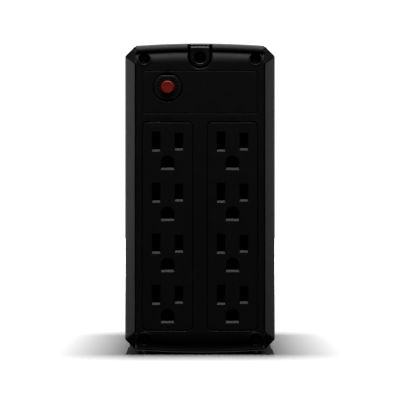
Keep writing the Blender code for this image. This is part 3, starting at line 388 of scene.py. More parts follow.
def bridge(mesh, rings):
    """Faces between each ring of vertices and the next."""
    for first, second in zip(rings, rings[1:]):
        for i in range(len(first)):
            j = (i + 1) % len(first)
            mesh.faces.new((first[i], first[j], second[j], second[i]))


def close_rings(mesh, rings):
    """A closed solid from rings of vertices, with a face over each end."""
    bridge(mesh, rings)
    mesh.faces.new(rings[0])
    mesh.faces.new(rings[-1])


class Relief:
    """A closed panel: a front and a back skin over the same plan, joined by the edges of every opening.

    surface(x, v) gives (setback, z) of the front skin, where v is the height before the crown bends it.
    sign is +1 where the panel's inner side lies towards +Y, and -1 where it lies towards -Y.
    """

    def __init__(self, surface, face, sign, thickness):
        self.surface = surface
        self.face = face
        self.sign = sign
        self.thickness = thickness
        self.mesh = bmesh.new()
        self.front_loops = []
        self.back_loops = []

    def point(self, x, v, depth, level=False):
        """A place at this depth under the front skin, or under the panel's flat face if level."""
        setback, z = self.surface(x, v)
        return Vector((x, self.face + self.sign * (depth + (0 if level else setback)), z))

    def edge(self, outline, profile, ends=("front", "back")):
        """Walls along an outline. A step is (growth, depth), and a third entry makes its depth level."""
        steps = []
        for growth, depth, *level in profile:
            plan = [(x + dx * growth, v + dv * growth) for x, v, dx, dv in outline]
            steps.append((plan, depth, bool(level)))
        self.walls(steps, ends)

    def walls(self, steps, ends=("front", "back")):
        """Walls through outlines of equal length. A step is (outline, depth, whether that is level)."""
        rings = []
        for plan, depth, level in steps:
            plan = [p[:2] for p in plan]
            rings.append((plan, [self.mesh.verts.new(self.point(*p, depth, level)) for p in plan]))
        bridge(self.mesh, [ring for _, ring in rings])
        for (plan, _), end in ((rings[0], ends[0]), (rings[-1], ends[1])):
            if end == "front":
                self.front_loops.append(plan)
            elif end == "back":
                self.back_loops.append(plan)
        if ends[1] == "floor":
            self.mesh.faces.new(rings[-1][1])

    def skin(self, loops, depth, grid):
        """Fills the plan between the loops, where a loop inside another is a hole in it."""
        points, edges = [], []
        for loop in loops:
            start = len(points)
            points += loop
            edges += [(start + i, start + (i + 1) % len(loop)) for i in range(len(loop))]
        if len(grid):
            rim, spots = np.array(points), np.array(grid)
            spots = spots[inside(spots, loops)]
            apart = [np.abs(rim - spot).sum(axis=1).min() > 0.12 * MM for spot in spots]
            points += spots[apart].tolist()
        verts, _, faces, _, _, _ = delaunay_2d_cdt([Vector(p) for p in points], edges, [], 0, 1e-9)
        centres = np.array([np.mean([verts[i][:] for i in face], axis=0) for face in faces])
        kept = inside(centres, loops)
        made = [self.mesh.verts.new(self.point(*v, depth)) for v in verts]
        for face, keep in zip(faces, kept):
            if keep:
                self.mesh.faces.new([made[i] for i in face])

    def finish(self, name, grid=()):
        self.skin(self.front_loops, 0, grid)
        self.skin(self.back_loops, self.thickness, grid)
        loose = [v for v in self.mesh.verts if not v.link_faces]
        bmesh.ops.delete(self.mesh, geom=loose, context="VERTS")
        bmesh.ops.remove_doubles(self.mesh, verts=self.mesh.verts, dist=0.002 * MM)
        return piece(name, self.mesh)


def inside(points, loops):
    """For each point, whether an odd number of loops hold it."""
    odd = np.zeros(len(points), bool)
    x, y = points[:, 0], points[:, 1]
    for loop in loops:
        ends = np.array(loop)
        for (x1, y1), (x2, y2) in zip(ends, np.roll(ends, -1, axis=0)):
            if y1 == y2:
                continue
            crosses = (y1 > y) != (y2 > y)
            odd ^= crosses & (x < (x2 - x1) * (y - y1) / (y2 - y1) + x1)
    return odd


def piece(name, mesh_data, matrix=None, sharp=38, weighted=True):
    """A linked object with outward faces, smooth shading and flat faces kept flat."""
    bmesh.ops.recalc_face_normals(mesh_data, faces=mesh_data.faces)
    mesh = bpy.data.meshes.new(name)
    mesh_data.to_mesh(mesh)
    mesh_data.free()
    obj = bpy.data.objects.new(name, mesh)
    bpy.context.scene.collection.objects.link(obj)
    if matrix is not None:
        obj.matrix_world = matrix
    shade(obj, sharp, weighted)
    return obj


def shade(obj, sharp, weighted=True):
    """Smooth shading up to an angle between faces, in degrees."""
    obj.data.shade_smooth()
    obj.data.set_sharp_from_angle(angle=math.radians(sharp))
    if not weighted:
        return
    normals = obj.modifiers.new("Flat faces", "WEIGHTED_NORMAL")
    normals.mode = "FACE_AREA"
    normals.keep_sharp = True


def soften(obj, width, segments, angle):
    """Rounds the edges whose faces meet at more than an angle, in degrees."""
    edge = obj.modifiers.new("Soft edges", "BEVEL")
    edge.width = width
    edge.segments = segments
    edge.limit_method = "ANGLE"
    edge.angle_limit = math.radians(angle)


def dress(obj, slot, body, *nodes, finish=None):
    """Gives a piece its material, picked by its record slot unless a finish is named, and its body, and hides
    the frame nodes it stands for.
    """
    obj.data.materials.clear()
    obj.data.materials.append(MATERIALS[finish or slot])
    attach(obj, body)
    if nodes:
        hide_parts(*nodes)
    return obj


def turned(name, profile, centre, axis, steps=64, sharp=38):
    """A solid of revolution: profile points are (radius, distance along the axis)."""
    rings = bmesh.new()
    loops = []
    for radius, along in profile:
        if radius < 1e-9:
            loops.append([rings.verts.new((0, 0, along))])
            continue
        loops.append(
            [
                rings.verts.new((radius * math.cos(a), radius * math.sin(a), along))
                for a in even(0, 2 * math.pi, steps)[:-1]
            ]
        )
    for first, second in zip(loops, loops[1:]):
        for i in range(steps):
            j = (i + 1) % steps
            corners = [ring[k % len(ring)] for ring, k in ((first, i), (first, j), (second, j), (second, i))]
            rings.faces.new(list(dict.fromkeys(corners)))
    if len(loops[0]) > 1 and len(loops[-1]) > 1:
        bridge(rings, [loops[-1], loops[0]])
    turn = Vector((0, 0, 1)).rotation_difference(Vector(axis)).to_matrix().to_4x4()
    return piece(name, rings, Matrix.Translation(centre) @ turn, sharp)


def apply_modifiers(obj):
    """Replaces the object's mesh by its evaluated one."""
    graph = bpy.context.evaluated_depsgraph_get()
    mesh = bpy.data.meshes.new_from_object(obj.evaluated_get(graph))
    obj.modifiers.clear()
    obj.data = mesh
    return obj


def subtract(obj, cutters):
    """Cuts every cutter out of the object for good, and removes them."""
    for cutter in cutters:
        modifier = obj.modifiers.new("Cut", "BOOLEAN")
        modifier.operation = "DIFFERENCE"
        modifier.object = cutter
        modifier.solver = "EXACT"
    apply_modifiers(obj)
    for cutter in cutters:
        bpy.data.objects.remove(cutter)
    return obj


# Surface of the end panels


def crown_drop(x):
    return CROWN * (x / SEAM_X) ** 2


def end_surface(x, v, low=True):
    """Setback and height of an end panel: lip, groove, sloped band and flat face."""
    from_top = v > (BODY_TOP + BODY_BOTTOM) / 2
    below = max(BODY_TOP - v if from_top else v - BODY_BOTTOM, 0)
    if below > BAND_HEIGHT or not (from_top or low):
        return 0.0, v
    rolled = VALLEY if from_top else COVE_TOP
    share = min((BAND_HEIGHT - below) / (BAND_HEIGHT - rolled), 1)
    if below >= rolled:
        setback = band_setback(below)
    elif from_top:
        setback = LIP_SETBACK - math.sqrt(max(LIP_RADIUS**2 - (LIP_RADIUS - below) ** 2, 0))
    else:
        setback = cove_setback(below)
    if from_top:
        setback += VALLEY_GROOVE * math.exp(-(((below - VALLEY) / VALLEY_WIDTH) ** 2))
    drop = crown_drop(x) * share
    return setback, v - drop if from_top else v + drop


def band_setback(below):
    return BAND_RADIUS - math.sqrt(BAND_RADIUS**2 - (BAND_HEIGHT - below) ** 2)


def cove_setback(below):
    """Foot of the lower band: a cove that turns upright and then leans out, with a joint line in it."""
    rise = BAND_HEIGHT - COVE_TOP
    slope = rise / math.sqrt(BAND_RADIUS**2 - rise**2)
    reach = COVE_TOP - COVE_UPRIGHT
    groove = 0.6 * MM * math.exp(-(((below - COVE_GROOVE) / (0.16 * MM)) ** 2))
    if below > COVE_UPRIGHT:
        return band_setback(COVE_TOP) + slope / (2 * reach) * (reach**2 - (below - COVE_UPRIGHT) ** 2)
    lean = COVE_LEAN / (2 * COVE_UPRIGHT) * (COVE_UPRIGHT - below) ** 2
    return band_setback(COVE_TOP) + slope * reach / 2 - lean + groove


def end_rows(low=True):
    """Heights at which the lips, grooves and bands need a row of points."""
    groove_start = VALLEY - 3 * VALLEY_WIDTH
    upper = [LIP_RADIUS * (1 - math.cos(math.radians(6 * i))) for i in range(15)]
    upper += even(LIP_RADIUS, groove_start, 5)[:-1]
    upper += even(groove_start, VALLEY + 3 * VALLEY_WIDTH, 18)
    upper += even(VALLEY + 3.4 * VALLEY_WIDTH, BAND_HEIGHT, 14)
    rows = [BODY_TOP - below for below in upper]
    if low:
        near = 0.4 * MM
        lower = even(0, COVE_GROOVE - near, 1)[:-1] + even(COVE_GROOVE - near, COVE_GROOVE + near, 10)
        lower += even(COVE_GROOVE + 1.4 * near, COVE_TOP, 12) + even(COVE_TOP + 0.4 * MM, BAND_HEIGHT, 16)
        rows += [BODY_BOTTOM + below for below in lower]
    return sorted(rows)


def end_columns(step=1.6 * MM):
    count = round(2 * PANEL_HALF / step)
    return [PANEL_HALF * (2 * i / count - 1) for i in range(count + 1)]


def end_grid(low=True):
    return [(x, v) for v in end_rows(low) for x in end_columns()[1:-1]]


def panel_outline(rows, bottom, top, notch=None):
    """Outer edge of an end panel. Its sides grow inwards, its top and bottom don't."""
    columns = end_columns()
    outline = [(x, bottom, 0, 0) for x in columns[1:-1]]
    outline += [(PANEL_HALF, v, -1, 0) for v in rows]
    crossing = list(reversed(columns[1:-1]))
    if notch is None:
        outline += [(x, top, 0, 0) for x in crossing]
    else:
        half, z = notch
        steps = 24
        sides = [v for v in rows if v > z]
        outline += [(x, top, 0, 0) for x in crossing if x > half + 0.8 * MM]
        outline += [(half, v, 1, 0) for v in reversed(sides)]
        for i in range(steps + 1):
            angle = -math.pi * i / steps
            c, s = math.cos(angle), math.sin(angle)
            outline.append((half * c, z + half * s, c, s))
        outline += [(-half, v, -1, 0) for v in sides]
        outline += [(x, top, 0, 0) for x in crossing if x < -half - 0.8 * MM]
    outline += [(-PANEL_HALF, v, 1, 0) for v in reversed(rows)]
    return outline


def screw_places():
    return [(x, z) for z in SCREW_Z for x in (-SCREW_X, SCREW_X)]


def plan_height(x, z):
    """The height v that the crown brings to z at this x."""
    v = z
    for _ in range(3):
        v += z - end_surface(x, v)[1]
    return v


def on_plan(outline):
    """Moves an outline given in real heights to the panel's plan."""
    return [(x, plan_height(x, z), dx, dz) for x, z, dx, dz in outline]


def rear_panel():
    panel = Relief(end_surface, REAR, 1, PANEL_THICKNESS)
    rows = end_rows()
    full = (0, PANEL_THICKNESS)
    panel.edge(
        panel_outline(rows, BODY_BOTTOM, BODY_TOP, (GLAND_SLOT, GLAND_Z)), [*fillet(0.55 * MM, 5), full]
    )
    for sign in SIDE_SIGN.values():
        width, height = BANK_WIDTH + 2 * BANK_SIDE_GAP, BANK_HEIGHT + 2 * BANK_END_GAP
        opening = rounded_rectangle(sign * COLUMN_X, BANK_Z, width, height, BANK_RADIUS + BANK_SIDE_GAP)
        panel.edge(opening, [*fillet(0.22 * MM, 3), full])
    panel.edge(circle(-COLUMN_X, BREAKER_Z, BREAKER_HOLE, 72), [*fillet(0.3 * MM), full])
    for x, z in screw_places():
        well = [
            (1.1 * MM, 0),
            (0.85 * MM, -0.12 * MM),
            (0.6 * MM, -0.2 * MM),
            (0.36 * MM, -0.14 * MM),
            (0.16 * MM, 0.08 * MM),
            (0, 0.5 * MM),
            (0, SCREW_SEAT, "level"),
            (-1.1 * MM, SCREW_SEAT, "level"),
            (-1.1 * MM, SCREW_SEAT + 3.6 * MM, "level"),
            (0.8 * MM, SCREW_SEAT + 3.6 * MM, "level"),
            (0.8 * MM, PANEL_THICKNESS),
        ]
        panel.edge(on_plan(circle(x, z, SCREW_WELL, 40)), well)
    label_groove(panel)
    return dress(panel.finish("rear_panel_moulding", end_grid()), "panel_plastic", "chassis", "rear_panel")


def label_groove(panel):
    """Narrow groove round the breaker and the blank label field."""
    half, depth = 0.2 * MM, 0.5 * MM
    side = [(half + growth, down) for growth, down in fillet(0.14 * MM)]
    profile = [*side, (half, depth), (-half, depth), *[(-growth, down) for growth, down in reversed(side)]]
    height = LABEL_TOP - LABEL_BOTTOM - 2 * half
    middle = (LABEL_TOP + LABEL_BOTTOM) / 2
    outline = rounded_rectangle(0, middle, LABEL_WIDTH - 2 * half, height, 1.4 * MM)
    panel.edge(outline, profile, ("front", "front"))


# Outlets, gland and breaker


def level_surface(x, v):
    return 0.0, v


def mouth(block, shape):
    """Opening with a ramp along its bottom and sides that close in slowly on the contact behind.

    shape(side, bottom) gives the outline that is this much wider each side and lower than the throat.
    """
    soft = 0.1 * MM
    ramp_end = 0.85 * LEAD_IN
    steps = (
        (LEAD_IN + soft, LEAD_IN + soft, 0),
        (LEAD_IN + 0.3 * soft, LEAD_IN + 0.3 * soft, 0.3 * soft),
        (LEAD_IN, LEAD_IN - 0.5 * soft, soft),
        (0.85 * LEAD_IN, 0, ramp_end),
        (0, 0, BANK_WALL),
    )
    block.walls([(shape(side, bottom), depth, False) for side, bottom, depth in steps])


def slot_shape(x, z, height):
    """Outline of a blade slot, given its throat. Its top stays where it is."""

    def shape(side, bottom):
        middle = z + (SLOT_HEADROOM - bottom) / 2
        full_height = height + SLOT_HEADROOM + bottom
        return rounded_rectangle(x, middle, SLOT_WIDTH + 2 * side, full_height, 0.25 * MM, steps=3)

    return shape


def ground_shape(x, z):
    def shape(side, bottom):
        return arched_hole(x, z, GROUND_RADIUS + side, GROUND_LENGTH + side + bottom)

    return shape


def outlet_block(side):
    face = REAR + BANK_SETBACK
    block = Relief(level_surface, face, 1, BANK_WALL)
    x = SIDE_SIGN[side] * COLUMN_X
    outer = inwards(rounded_rectangle(x, BANK_Z, BANK_WIDTH, BANK_HEIGHT, BANK_RADIUS))
    skirt = 1.6 * MM
    block.edge(outer, [*fillet(0.32 * MM), (0, BANK_DEPTH), (skirt, BANK_DEPTH), (skirt, BANK_WALL)])
    for row in range(OUTLET_ROWS):
        z = TOP_OUTLET_Z - row * OUTLET_PITCH
        for slot_x, height in ((x - BLADE_X, NEUTRAL_HEIGHT), (x + BLADE_X, LINE_HEIGHT)):
            mouth(block, slot_shape(slot_x, z, height))
        mouth(block, ground_shape(x, z - GROUND_DROP))
    return dress(block.finish(f"{side}_outlet_moulding"), "outlet_plastic", "chassis", f"{side}_outlet_block")


def gland_surface(x, v):
    """Flat nose with a rounded top edge, a cross groove and a leaning strip above it."""
    below = GLAND_TOP - v
    groove_start, groove_end, roll_end = 1.0 * MM, 1.5 * MM, 2.9 * MM
    if below < groove_start:
        return 0.65 * (groove_start - below) + 0.1 * MM, v
    if below < groove_end:
        return 0.9 * MM, v
    roll = max(roll_end - below, 0)
    radius = 1.8 * MM
    return radius - math.sqrt(radius**2 - roll**2), v


def cord_gland():
    low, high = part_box("cord_gland")
    gland = Relief(gland_surface, low.y, 1, high.y - low.y - 1.2 * MM)
    top = GLAND_TOP
    levels = [top - 0.125 * MM * i for i in range(26)]
    steps = 24
    outline = [(x * GLAND_NOSE / 6, top, 0, 0) for x in range(5, -6, -1)]
    outline += [(-GLAND_NOSE, v, 1, 0) for v in levels]
    for i in range(steps + 1):
        angle = math.pi + math.pi * i / steps
        c, s = math.cos(angle), math.sin(angle)
        outline.append((GLAND_NOSE * c, GLAND_Z + GLAND_NOSE * s, -c, -s))
    outline += [(GLAND_NOSE, v, -1, 0) for v in reversed(levels)]
    gland.edge(outline, [*fillet(0.55 * MM), (0, gland.thickness)])
    gland.edge(circle(0, GLAND_BORE_Z, GLAND_BORE, 48), [*fillet(0.5 * MM), (0, gland.thickness)])
    grid = [(x * GLAND_NOSE / 6, v) for v in levels for x in range(-5, 6)]
    return dress(
        gland.finish("cord_gland_bush", grid), "rubber", "chassis", "cord_gland", finish="gland_rubber"
    )


def collar_outline(radius, flat):
    """A circle with a flat above and below."""
    outline = []
    steps = 72
    for i in range(steps):
        angle = 2 * math.pi * (i + 0.5) / steps
        c, s = math.cos(angle), math.sin(angle)
        if abs(radius * s) > flat:
            scale = flat / (radius * abs(s))
            outline.append((radius * c * scale, math.copysign(flat, s), 0, math.copysign(1, s)))
        else:
            outline.append((radius * c, radius * s, c, s))
    return [(x - COLUMN_X, z + BREAKER_Z, dx, dz) for x, z, dx, dz in outline]


def breaker():
    """Collar with sunk tick marks round the button, and the body behind the panel."""
    low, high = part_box("breaker_body")
    collar = Relief(level_surface, low.y, 1, 2.9 * MM)
    edge = [(0.4 * MM, 0), (0.34 * MM, 0.04 * MM), (0.03 * MM, 0.32 * MM), (0, 0.4 * MM), (0, 2.9 * MM)]
    collar.edge(inwards(collar_outline(COLLAR_RADIUS, COLLAR_FLAT)), edge)
    collar.edge(circle(-COLUMN_X, BREAKER_Z, BUTTON_BORE, 64), [*fillet(0.2 * MM), (0, 2.9 * MM)])
    ticks = 18
    for i in range(ticks):
        collar.edge(tick_mark(360 * (i + 0.5) / ticks), [(0, 0), (0, 1.8 * MM)], ("front", "floor"))
    front = collar.finish("breaker_collar")
    dress(front, "outlet_plastic", "chassis", finish="collar_plastic")
    body_start = REAR + 2.95 * MM
    body = softened_box("breaker_case", Vector((low.x, body_start, low.z)), high, 0.5 * MM)
    bore = turned(
        "bore", [(0, -1 * MM), (BUTTON_BORE, -1 * MM), (BUTTON_BORE, 14 * MM), (0, 14 * MM)],
        (-COLUMN_X, body_start, BREAKER_Z), (0, 1, 0), 48,
    )
    subtract(body, [bore])
    dress(body, "outlet_plastic", "chassis", "breaker_body")
    return front


def tick_mark(angle):
    """Outline of one tick on the collar, at an angle from the button's right."""
    c, s = math.cos(math.radians(angle)), math.sin(math.radians(angle))
    middle, half_length, half_width = 5.35 * MM, 0.62 * MM, 0.38 * MM
    corners = ((half_length, half_width), (-half_length, half_width),
               (-half_length, -half_width), (half_length, -half_width))
    return [
        (-COLUMN_X + (middle + along) * c - across * s, BREAKER_Z + (middle + along) * s + across * c, 0, 0)
        for along, across in corners
    ]


def softened_box(name, low, high, radius):
    cube = bmesh.new()
    bmesh.ops.create_cube(cube, size=1)
    bmesh.ops.scale(cube, vec=high - low, verts=cube.verts)
    bmesh.ops.bevel(cube, geom=cube.edges[:], offset=radius, segments=3, profile=0.5, affect="EDGES")
    return piece(name, cube, Matrix.Translation((low + high) / 2))


def add_bar(marks, centre, distance, length, width, angle, face, height=0.14 * MM):
    """A raised bar on the rear face, at a distance and angle from a centre, pointing away from it."""
    cube = bmesh.ops.create_cube(marks, size=1)["verts"]
    bmesh.ops.scale(marks, vec=(length, 2 * height, width), verts=cube)
    turn = Matrix.Rotation(-math.radians(angle), 4, "Y")
    place = Matrix.Translation((centre[0], face, centre[1])) @ turn @ Matrix.Translation((distance, 0, 0))
    bmesh.ops.transform(marks, matrix=place, verts=cube)


def reset_button():
    """Cap with a dished face, a round edge that catches the light and a lower shoulder."""
    low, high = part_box("reset_button")
    radius = (high.x - low.x) / 2
    face, soft = 3.55 * MM, 0.75 * MM
    round_edge = [
        (face - soft * (1 - math.sin(a)), low.y + soft * (1 - math.cos(a)))
        for a in even(0, math.pi / 2, 8)
    ]
    dish = [(0, low.y + 0.16 * MM), (1.4 * MM, low.y + 0.12 * MM), (2.4 * MM, low.y + 0.03 * MM)]
    shoulder = [(face, low.y + 1.1 * MM), (radius - 0.1 * MM, low.y + 1.1 * MM), (radius, low.y + 1.2 * MM)]
    end = [(radius, high.y - 0.3 * MM), (radius - 0.3 * MM, high.y), (0, high.y)]
    profile = [*dish, *round_edge, *shoulder, *end]
    button = turned("reset_button_cap", profile, (-COLUMN_X, 0, BREAKER_Z), (0, 1, 0), 72)
    return dress(button, "reset_plastic", "reset_button", "reset_button")


def rear_screw(number, x, z):
    """Pan-head screw with a tapered cross recess."""
    low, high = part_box(f"rear_screw_{number}")
    head, radius = 2.0 * MM, (high.x - low.x) / 2
    top = [
        (radius * math.sin(a), low.y + 0.9 * MM * (1 - math.cos(a)))
        for a in even(0, math.pi / 2, 8)
    ]
    shank = [(radius, low.y + head), (1.6 * MM, low.y + head), (1.6 * MM, high.y - 1 * MM), (0, high.y)]
    screw = turned(f"rear_screw_{number}_head", [*top, *shank], (x, 0, z), (0, 1, 0), 48)
    arms = [cross_arm(x, z, low.y, width, height) for width, height in ((3.1, 0.62), (0.62, 3.1))]
    subtract(screw, arms)
    shade(screw, 30)
    return dress(screw, "black_steel", "chassis", f"rear_screw_{number}")


def cross_arm(x, z, face, width, height):
    """One arm of the recess: it narrows as it goes in."""
    arm = bmesh.new()
    rings = []
    for depth, scale in ((-0.5 * MM, 1.12), (1.5 * MM, 0.5)):
        half_x, half_z = width * MM / 2 * scale, height * MM / 2 * (1 if scale > 1 else 0.8)
        if height > width:
            half_x, half_z = width * MM / 2 * (1 if scale > 1 else 0.8), height * MM / 2 * scale
        corners = ((half_x, half_z), (-half_x, half_z), (-half_x, -half_z), (half_x, -half_z))
        rings.append([arm.verts.new((x + dx, face + depth, z + dz)) for dx, dz in corners])
    close_rings(arm, rings)
    return piece("arm", arm, weighted=False)


# Raised marks above the outlet banks: generic symbols


def outline_bars(marks, centre, points, width):
    """Raised bars along a polyline, given in metres from a centre."""
    for (x1, z1), (x2, z2) in zip(points, points[1:]):
        middle = (centre[0] + (x1 + x2) / 2, centre[1] + (z1 + z2) / 2)
        length = math.hypot(x2 - x1, z2 - z1) + width
        add_bar(marks, middle, 0, length, width, math.degrees(math.atan2(z2 - z1, x2 - x1)), REAR)


def bank_marks():
    """A battery symbol over the left bank and a wave symbol over the right, each beside a row of dots."""
    marks = bmesh.new()
    z = (LABEL_BOTTOM + BANK_Z + BANK_HEIGHT / 2) / 2
    width = 0.22 * MM
    battery = [(-2, -0.7), (-2, 0.7), (2, 0.7), (2, -0.7), (-2, -0.7)]
    bolt = [(0.35, 0.55), (-0.3, 0.0), (0.3, 0.0), (-0.35, -0.55)]
    for shape in (battery, bolt):
        outline_bars(marks, (-COLUMN_X, z), [(x * MM, y * MM) for x, y in shape], width)
    wave = [(i * 0.25 * MM, 0.55 * MM * math.sin(i * math.pi / 4)) for i in range(-8, 9)]
    outline_bars(marks, (COLUMN_X, z), wave, width)
    for centre, first, last in ((-COLUMN_X, 3.4, 6.2), (COLUMN_X, 3.4, 11.0)):
        steps = int((last - first) / 0.9) + 1
        for sign in (-1, 1):
            for i in range(steps):
                x = centre + sign * (first + 0.9 * i) * MM
                add_bar(marks, (x, z), 0, 0.45 * MM, 0.45 * MM, 45, REAR, 0.1 * MM)
    return dress(piece("bank_symbols", marks), "panel_plastic", "chassis")


# Side shells, covers and feet

WALL = 2.4 * MM
EDGE_SOFTNESS = 0.7 * MM
VENT_PITCH = 7 * MM
VENT_WIDTH = 2.6 * MM
VENT_GROUPS = ((16, -52 * MM, 124 * MM, 148 * MM), (9, -104 * MM, 30 * MM, 70 * MM))


def body_hull():
    """The whole body's convex shape: flat sides, chamfered corners and end bevels."""
    levels = (
        (EDGE_TOP, EDGE_TOP - CORNER, BODY_TOP - BAND_HEIGHT),
        (EDGE_BOTTOM, EDGE_BOTTOM + CORNER, BODY_BOTTOM + BAND_HEIGHT),
    )
    hull = bmesh.new()
    for edge_z, side_z, end_z in levels:
        for x in (-1, 1):
            for y in (-1, 1):
                hull.verts.new((x * SEAM_X, y * (FRONT - CORNER), edge_z))
                hull.verts.new((x * HALF_WIDTH, y * (FRONT - CORNER), side_z))
                hull.verts.new((x * SEAM_X, y * FRONT, end_z))
    bmesh.ops.convex_hull(hull, input=hull.verts)
    bmesh.ops.dissolve_limit(hull, angle_limit=0.01, verts=hull.verts, edges=hull.edges)
    return hull


def vent_cutter(sign, y, low, high):
    """A slot with round ends and a chamfered mouth, through one side wall."""
    radius = VENT_WIDTH / 2
    chamfer = 0.4 * MM
    face = HALF_WIDTH
    outline = []
    steps = 10
    for centre, start in ((high - radius, 0), (low + radius, math.pi)):
        for i in range(steps + 1):
            angle = start + math.pi * i / steps
            outline.append((math.cos(angle), math.sin(angle), centre))
    cutter = bmesh.new()
    rings = []
    for x, r in (
        (face + chamfer, radius + 2 * chamfer),
        (face - chamfer, radius),
        (face - WALL - 2 * MM, radius),
    ):
        rings.append([cutter.verts.new((sign * x, y + r * c, centre + r * s)) for c, s, centre in outline])
    close_rings(cutter, rings)
    return cutter


def side_shell(side):
    sign = SIDE_SIGN[side]
    hull = body_hull()
    bmesh.ops.bevel(
        hull,
        geom=hull.edges[:],
        offset=EDGE_SOFTNESS,
        segments=4,
        profile=0.5,
        affect="EDGES",
        clamp_overlap=True,
    )
    everything = [*hull.verts, *hull.edges, *hull.faces]
    bmesh.ops.bisect_plane(
        hull, geom=everything, plane_co=(sign * SHELL_EDGE, 0, 0), plane_no=(sign, 0, 0), clear_inner=True
    )
    name = f"{side}_side_moulding"
    shell = piece(name, hull, weighted=False)
    solid = shell.modifiers.new("Wall", "SOLIDIFY")
    solid.thickness = WALL
    solid.offset = -1
    solid.use_even_offset = True
    soften(shell, 0.35 * MM, 3, 60)
    apply_modifiers(shell)
    cutters = bmesh.new()
    for count, first_y, low_z, high_z in VENT_GROUPS:
        for i in range(count):
            slot = vent_cutter(sign, first_y + i * VENT_PITCH, low_z, high_z)
            mesh = bpy.data.meshes.new("slot")
            slot.to_mesh(mesh)
            slot.free()
            cutters.from_mesh(mesh)
            bpy.data.meshes.remove(mesh)
    subtract(shell, [piece("vents", cutters, weighted=False)])
    shade(shell, 30)
    return dress(shell, "shell_plastic", "chassis", f"{side}_side_shell")


def top_cover():
    """Arched strip with softened long edges."""
    low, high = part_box("top_cover")
    soft, end_soft = 0.4 * MM, 0.3 * MM
    end_soft_middle = 0.09 * MM
    steps = 40
    half = PANEL_HALF
    section = []
    for i in range(steps + 1):
        x = (half - soft) * (2 * i / steps - 1)
        section.append((x, BODY_TOP - crown_drop(x)))
    edge_z = section[-1][1]
    for i in range(1, 5):
        a = math.pi / 2 * i / 4
        section.append((half - soft + soft * math.sin(a), edge_z - soft * (1 - math.cos(a))))
        section.insert(0, (-section[-1][0], section[-1][1]))
    under = [(x, min(z, BODY_TOP - crown_drop(x)) - WALL) for x, z in reversed(section)]
    cover = bmesh.new()
    rings = []
    for y, drop in (
        (low.y, end_soft),
        (low.y + end_soft_middle, end_soft_middle),
        (low.y + end_soft, 0),
        (high.y - end_soft, 0),
        (high.y - end_soft_middle, end_soft_middle),
        (high.y, end_soft),
    ):
        upper = [(x, z - drop) for x, z in section]
        rings.append([cover.verts.new((x, y, z)) for x, z in (*upper, *under)])
    close_rings(cover, rings)
    return dress(piece("top_cover_moulding", cover), "panel_plastic", "chassis", "top_cover")


def foot(number):
    low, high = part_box(f"foot_{number}")
    centre = (low + high) / 2
    radius = (high.x - low.x) / 2
    soft = 0.5 * MM
    sole = radius - 0.6 * MM
    profile = [
        (0, 0.35 * MM),
        (sole - 2.2 * MM, 0.35 * MM),
        (sole - 1.9 * MM, 0),
        (sole - soft, 0),
        *[(sole - soft + soft * math.sin(a), soft * (1 - math.cos(a))) for a in (0.4, 0.8, 1.2)],
        (sole + 0.1 * MM, soft),
        (radius, high.z),
        (0, high.z),
    ]
    pad = turned(f"foot_{number}_pad", profile, (centre.x, centre.y, 0), (0, 0, 1), 48)
    return dress(pad, "rubber", "chassis", f"foot_{number}")


# Front


def front_surface(x, v):
    return end_surface(x, v, low=False)


def front_panel():
    low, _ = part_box("front_panel")
    panel = Relief(front_surface, FRONT, -1, PANEL_THICKNESS)
    rows = [low.z, *end_rows(low=False)]
    full = (0, PANEL_THICKNESS)
    panel.edge(panel_outline(rows, low.z, BODY_TOP), [*fillet(0.4 * MM), full])
    ring_low, ring_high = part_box("power_button_ring")
    radius = (ring_high.x - ring_low.x) / 2 + 0.3 * MM
    panel.edge(circle(0, POWER_Z, radius, 96), [*fillet(0.3 * MM), full])
    for x in STATUS_X:
        panel.edge(circle(x, STATUS_Z, 1.65 * MM, 32), [*fillet(0.25 * MM), full])
    return dress(
        panel.finish("front_panel_moulding", end_grid(low=False)), "gloss_plastic", "chassis", "front_panel"
    )


def power_button():
    low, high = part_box("power_button")
    radius = (high.x - low.x) / 2
    top, rest, soft = high.y, FRONT - 2.6 * MM, 0.7 * MM
    profile = [
        (0, top - 0.85 * MM),
        (2.5 * MM, top - 0.78 * MM),
        (5.0 * MM, top - 0.5 * MM),
        (6.6 * MM, top - 0.12 * MM),
        (7.1 * MM, top),
        *[
            (radius - soft * (1 - math.sin(a)), top - soft * (1 - math.cos(a)))
            for a in (0.3, 0.7, 1.1, 1.5)
        ],
        (radius, rest),
        (1.5 * MM, rest),
        (1.5 * MM, low.y),
        (0, low.y),
    ]
    button = turned("power_button_cap", profile, (0, 0, POWER_Z), (0, 1, 0), 96)
    dress(button, "gloss_plastic", "power_button", "power_button")
    low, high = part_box("power_button_ring")
    outer = (high.x - low.x) / 2
    inner = outer - 1.6 * MM
    ring_profile = [
        (inner, low.y),
        (inner, high.y - 0.4 * MM),
        *[(inner + 0.8 * MM - 0.8 * MM * math.cos(a), high.y - 0.4 * MM + 0.4 * MM * math.sin(a))
          for a in (0.4, 0.8, 1.2, math.pi / 2, 1.95, 2.35, 2.75)],
        (outer, high.y - 0.5 * MM),
        (outer, low.y),
    ]
    ring = turned("power_button_bezel", ring_profile, (0, 0, POWER_Z), (0, 1, 0), 96)
    return dress(ring, "bright_steel", "chassis", "power_button_ring")


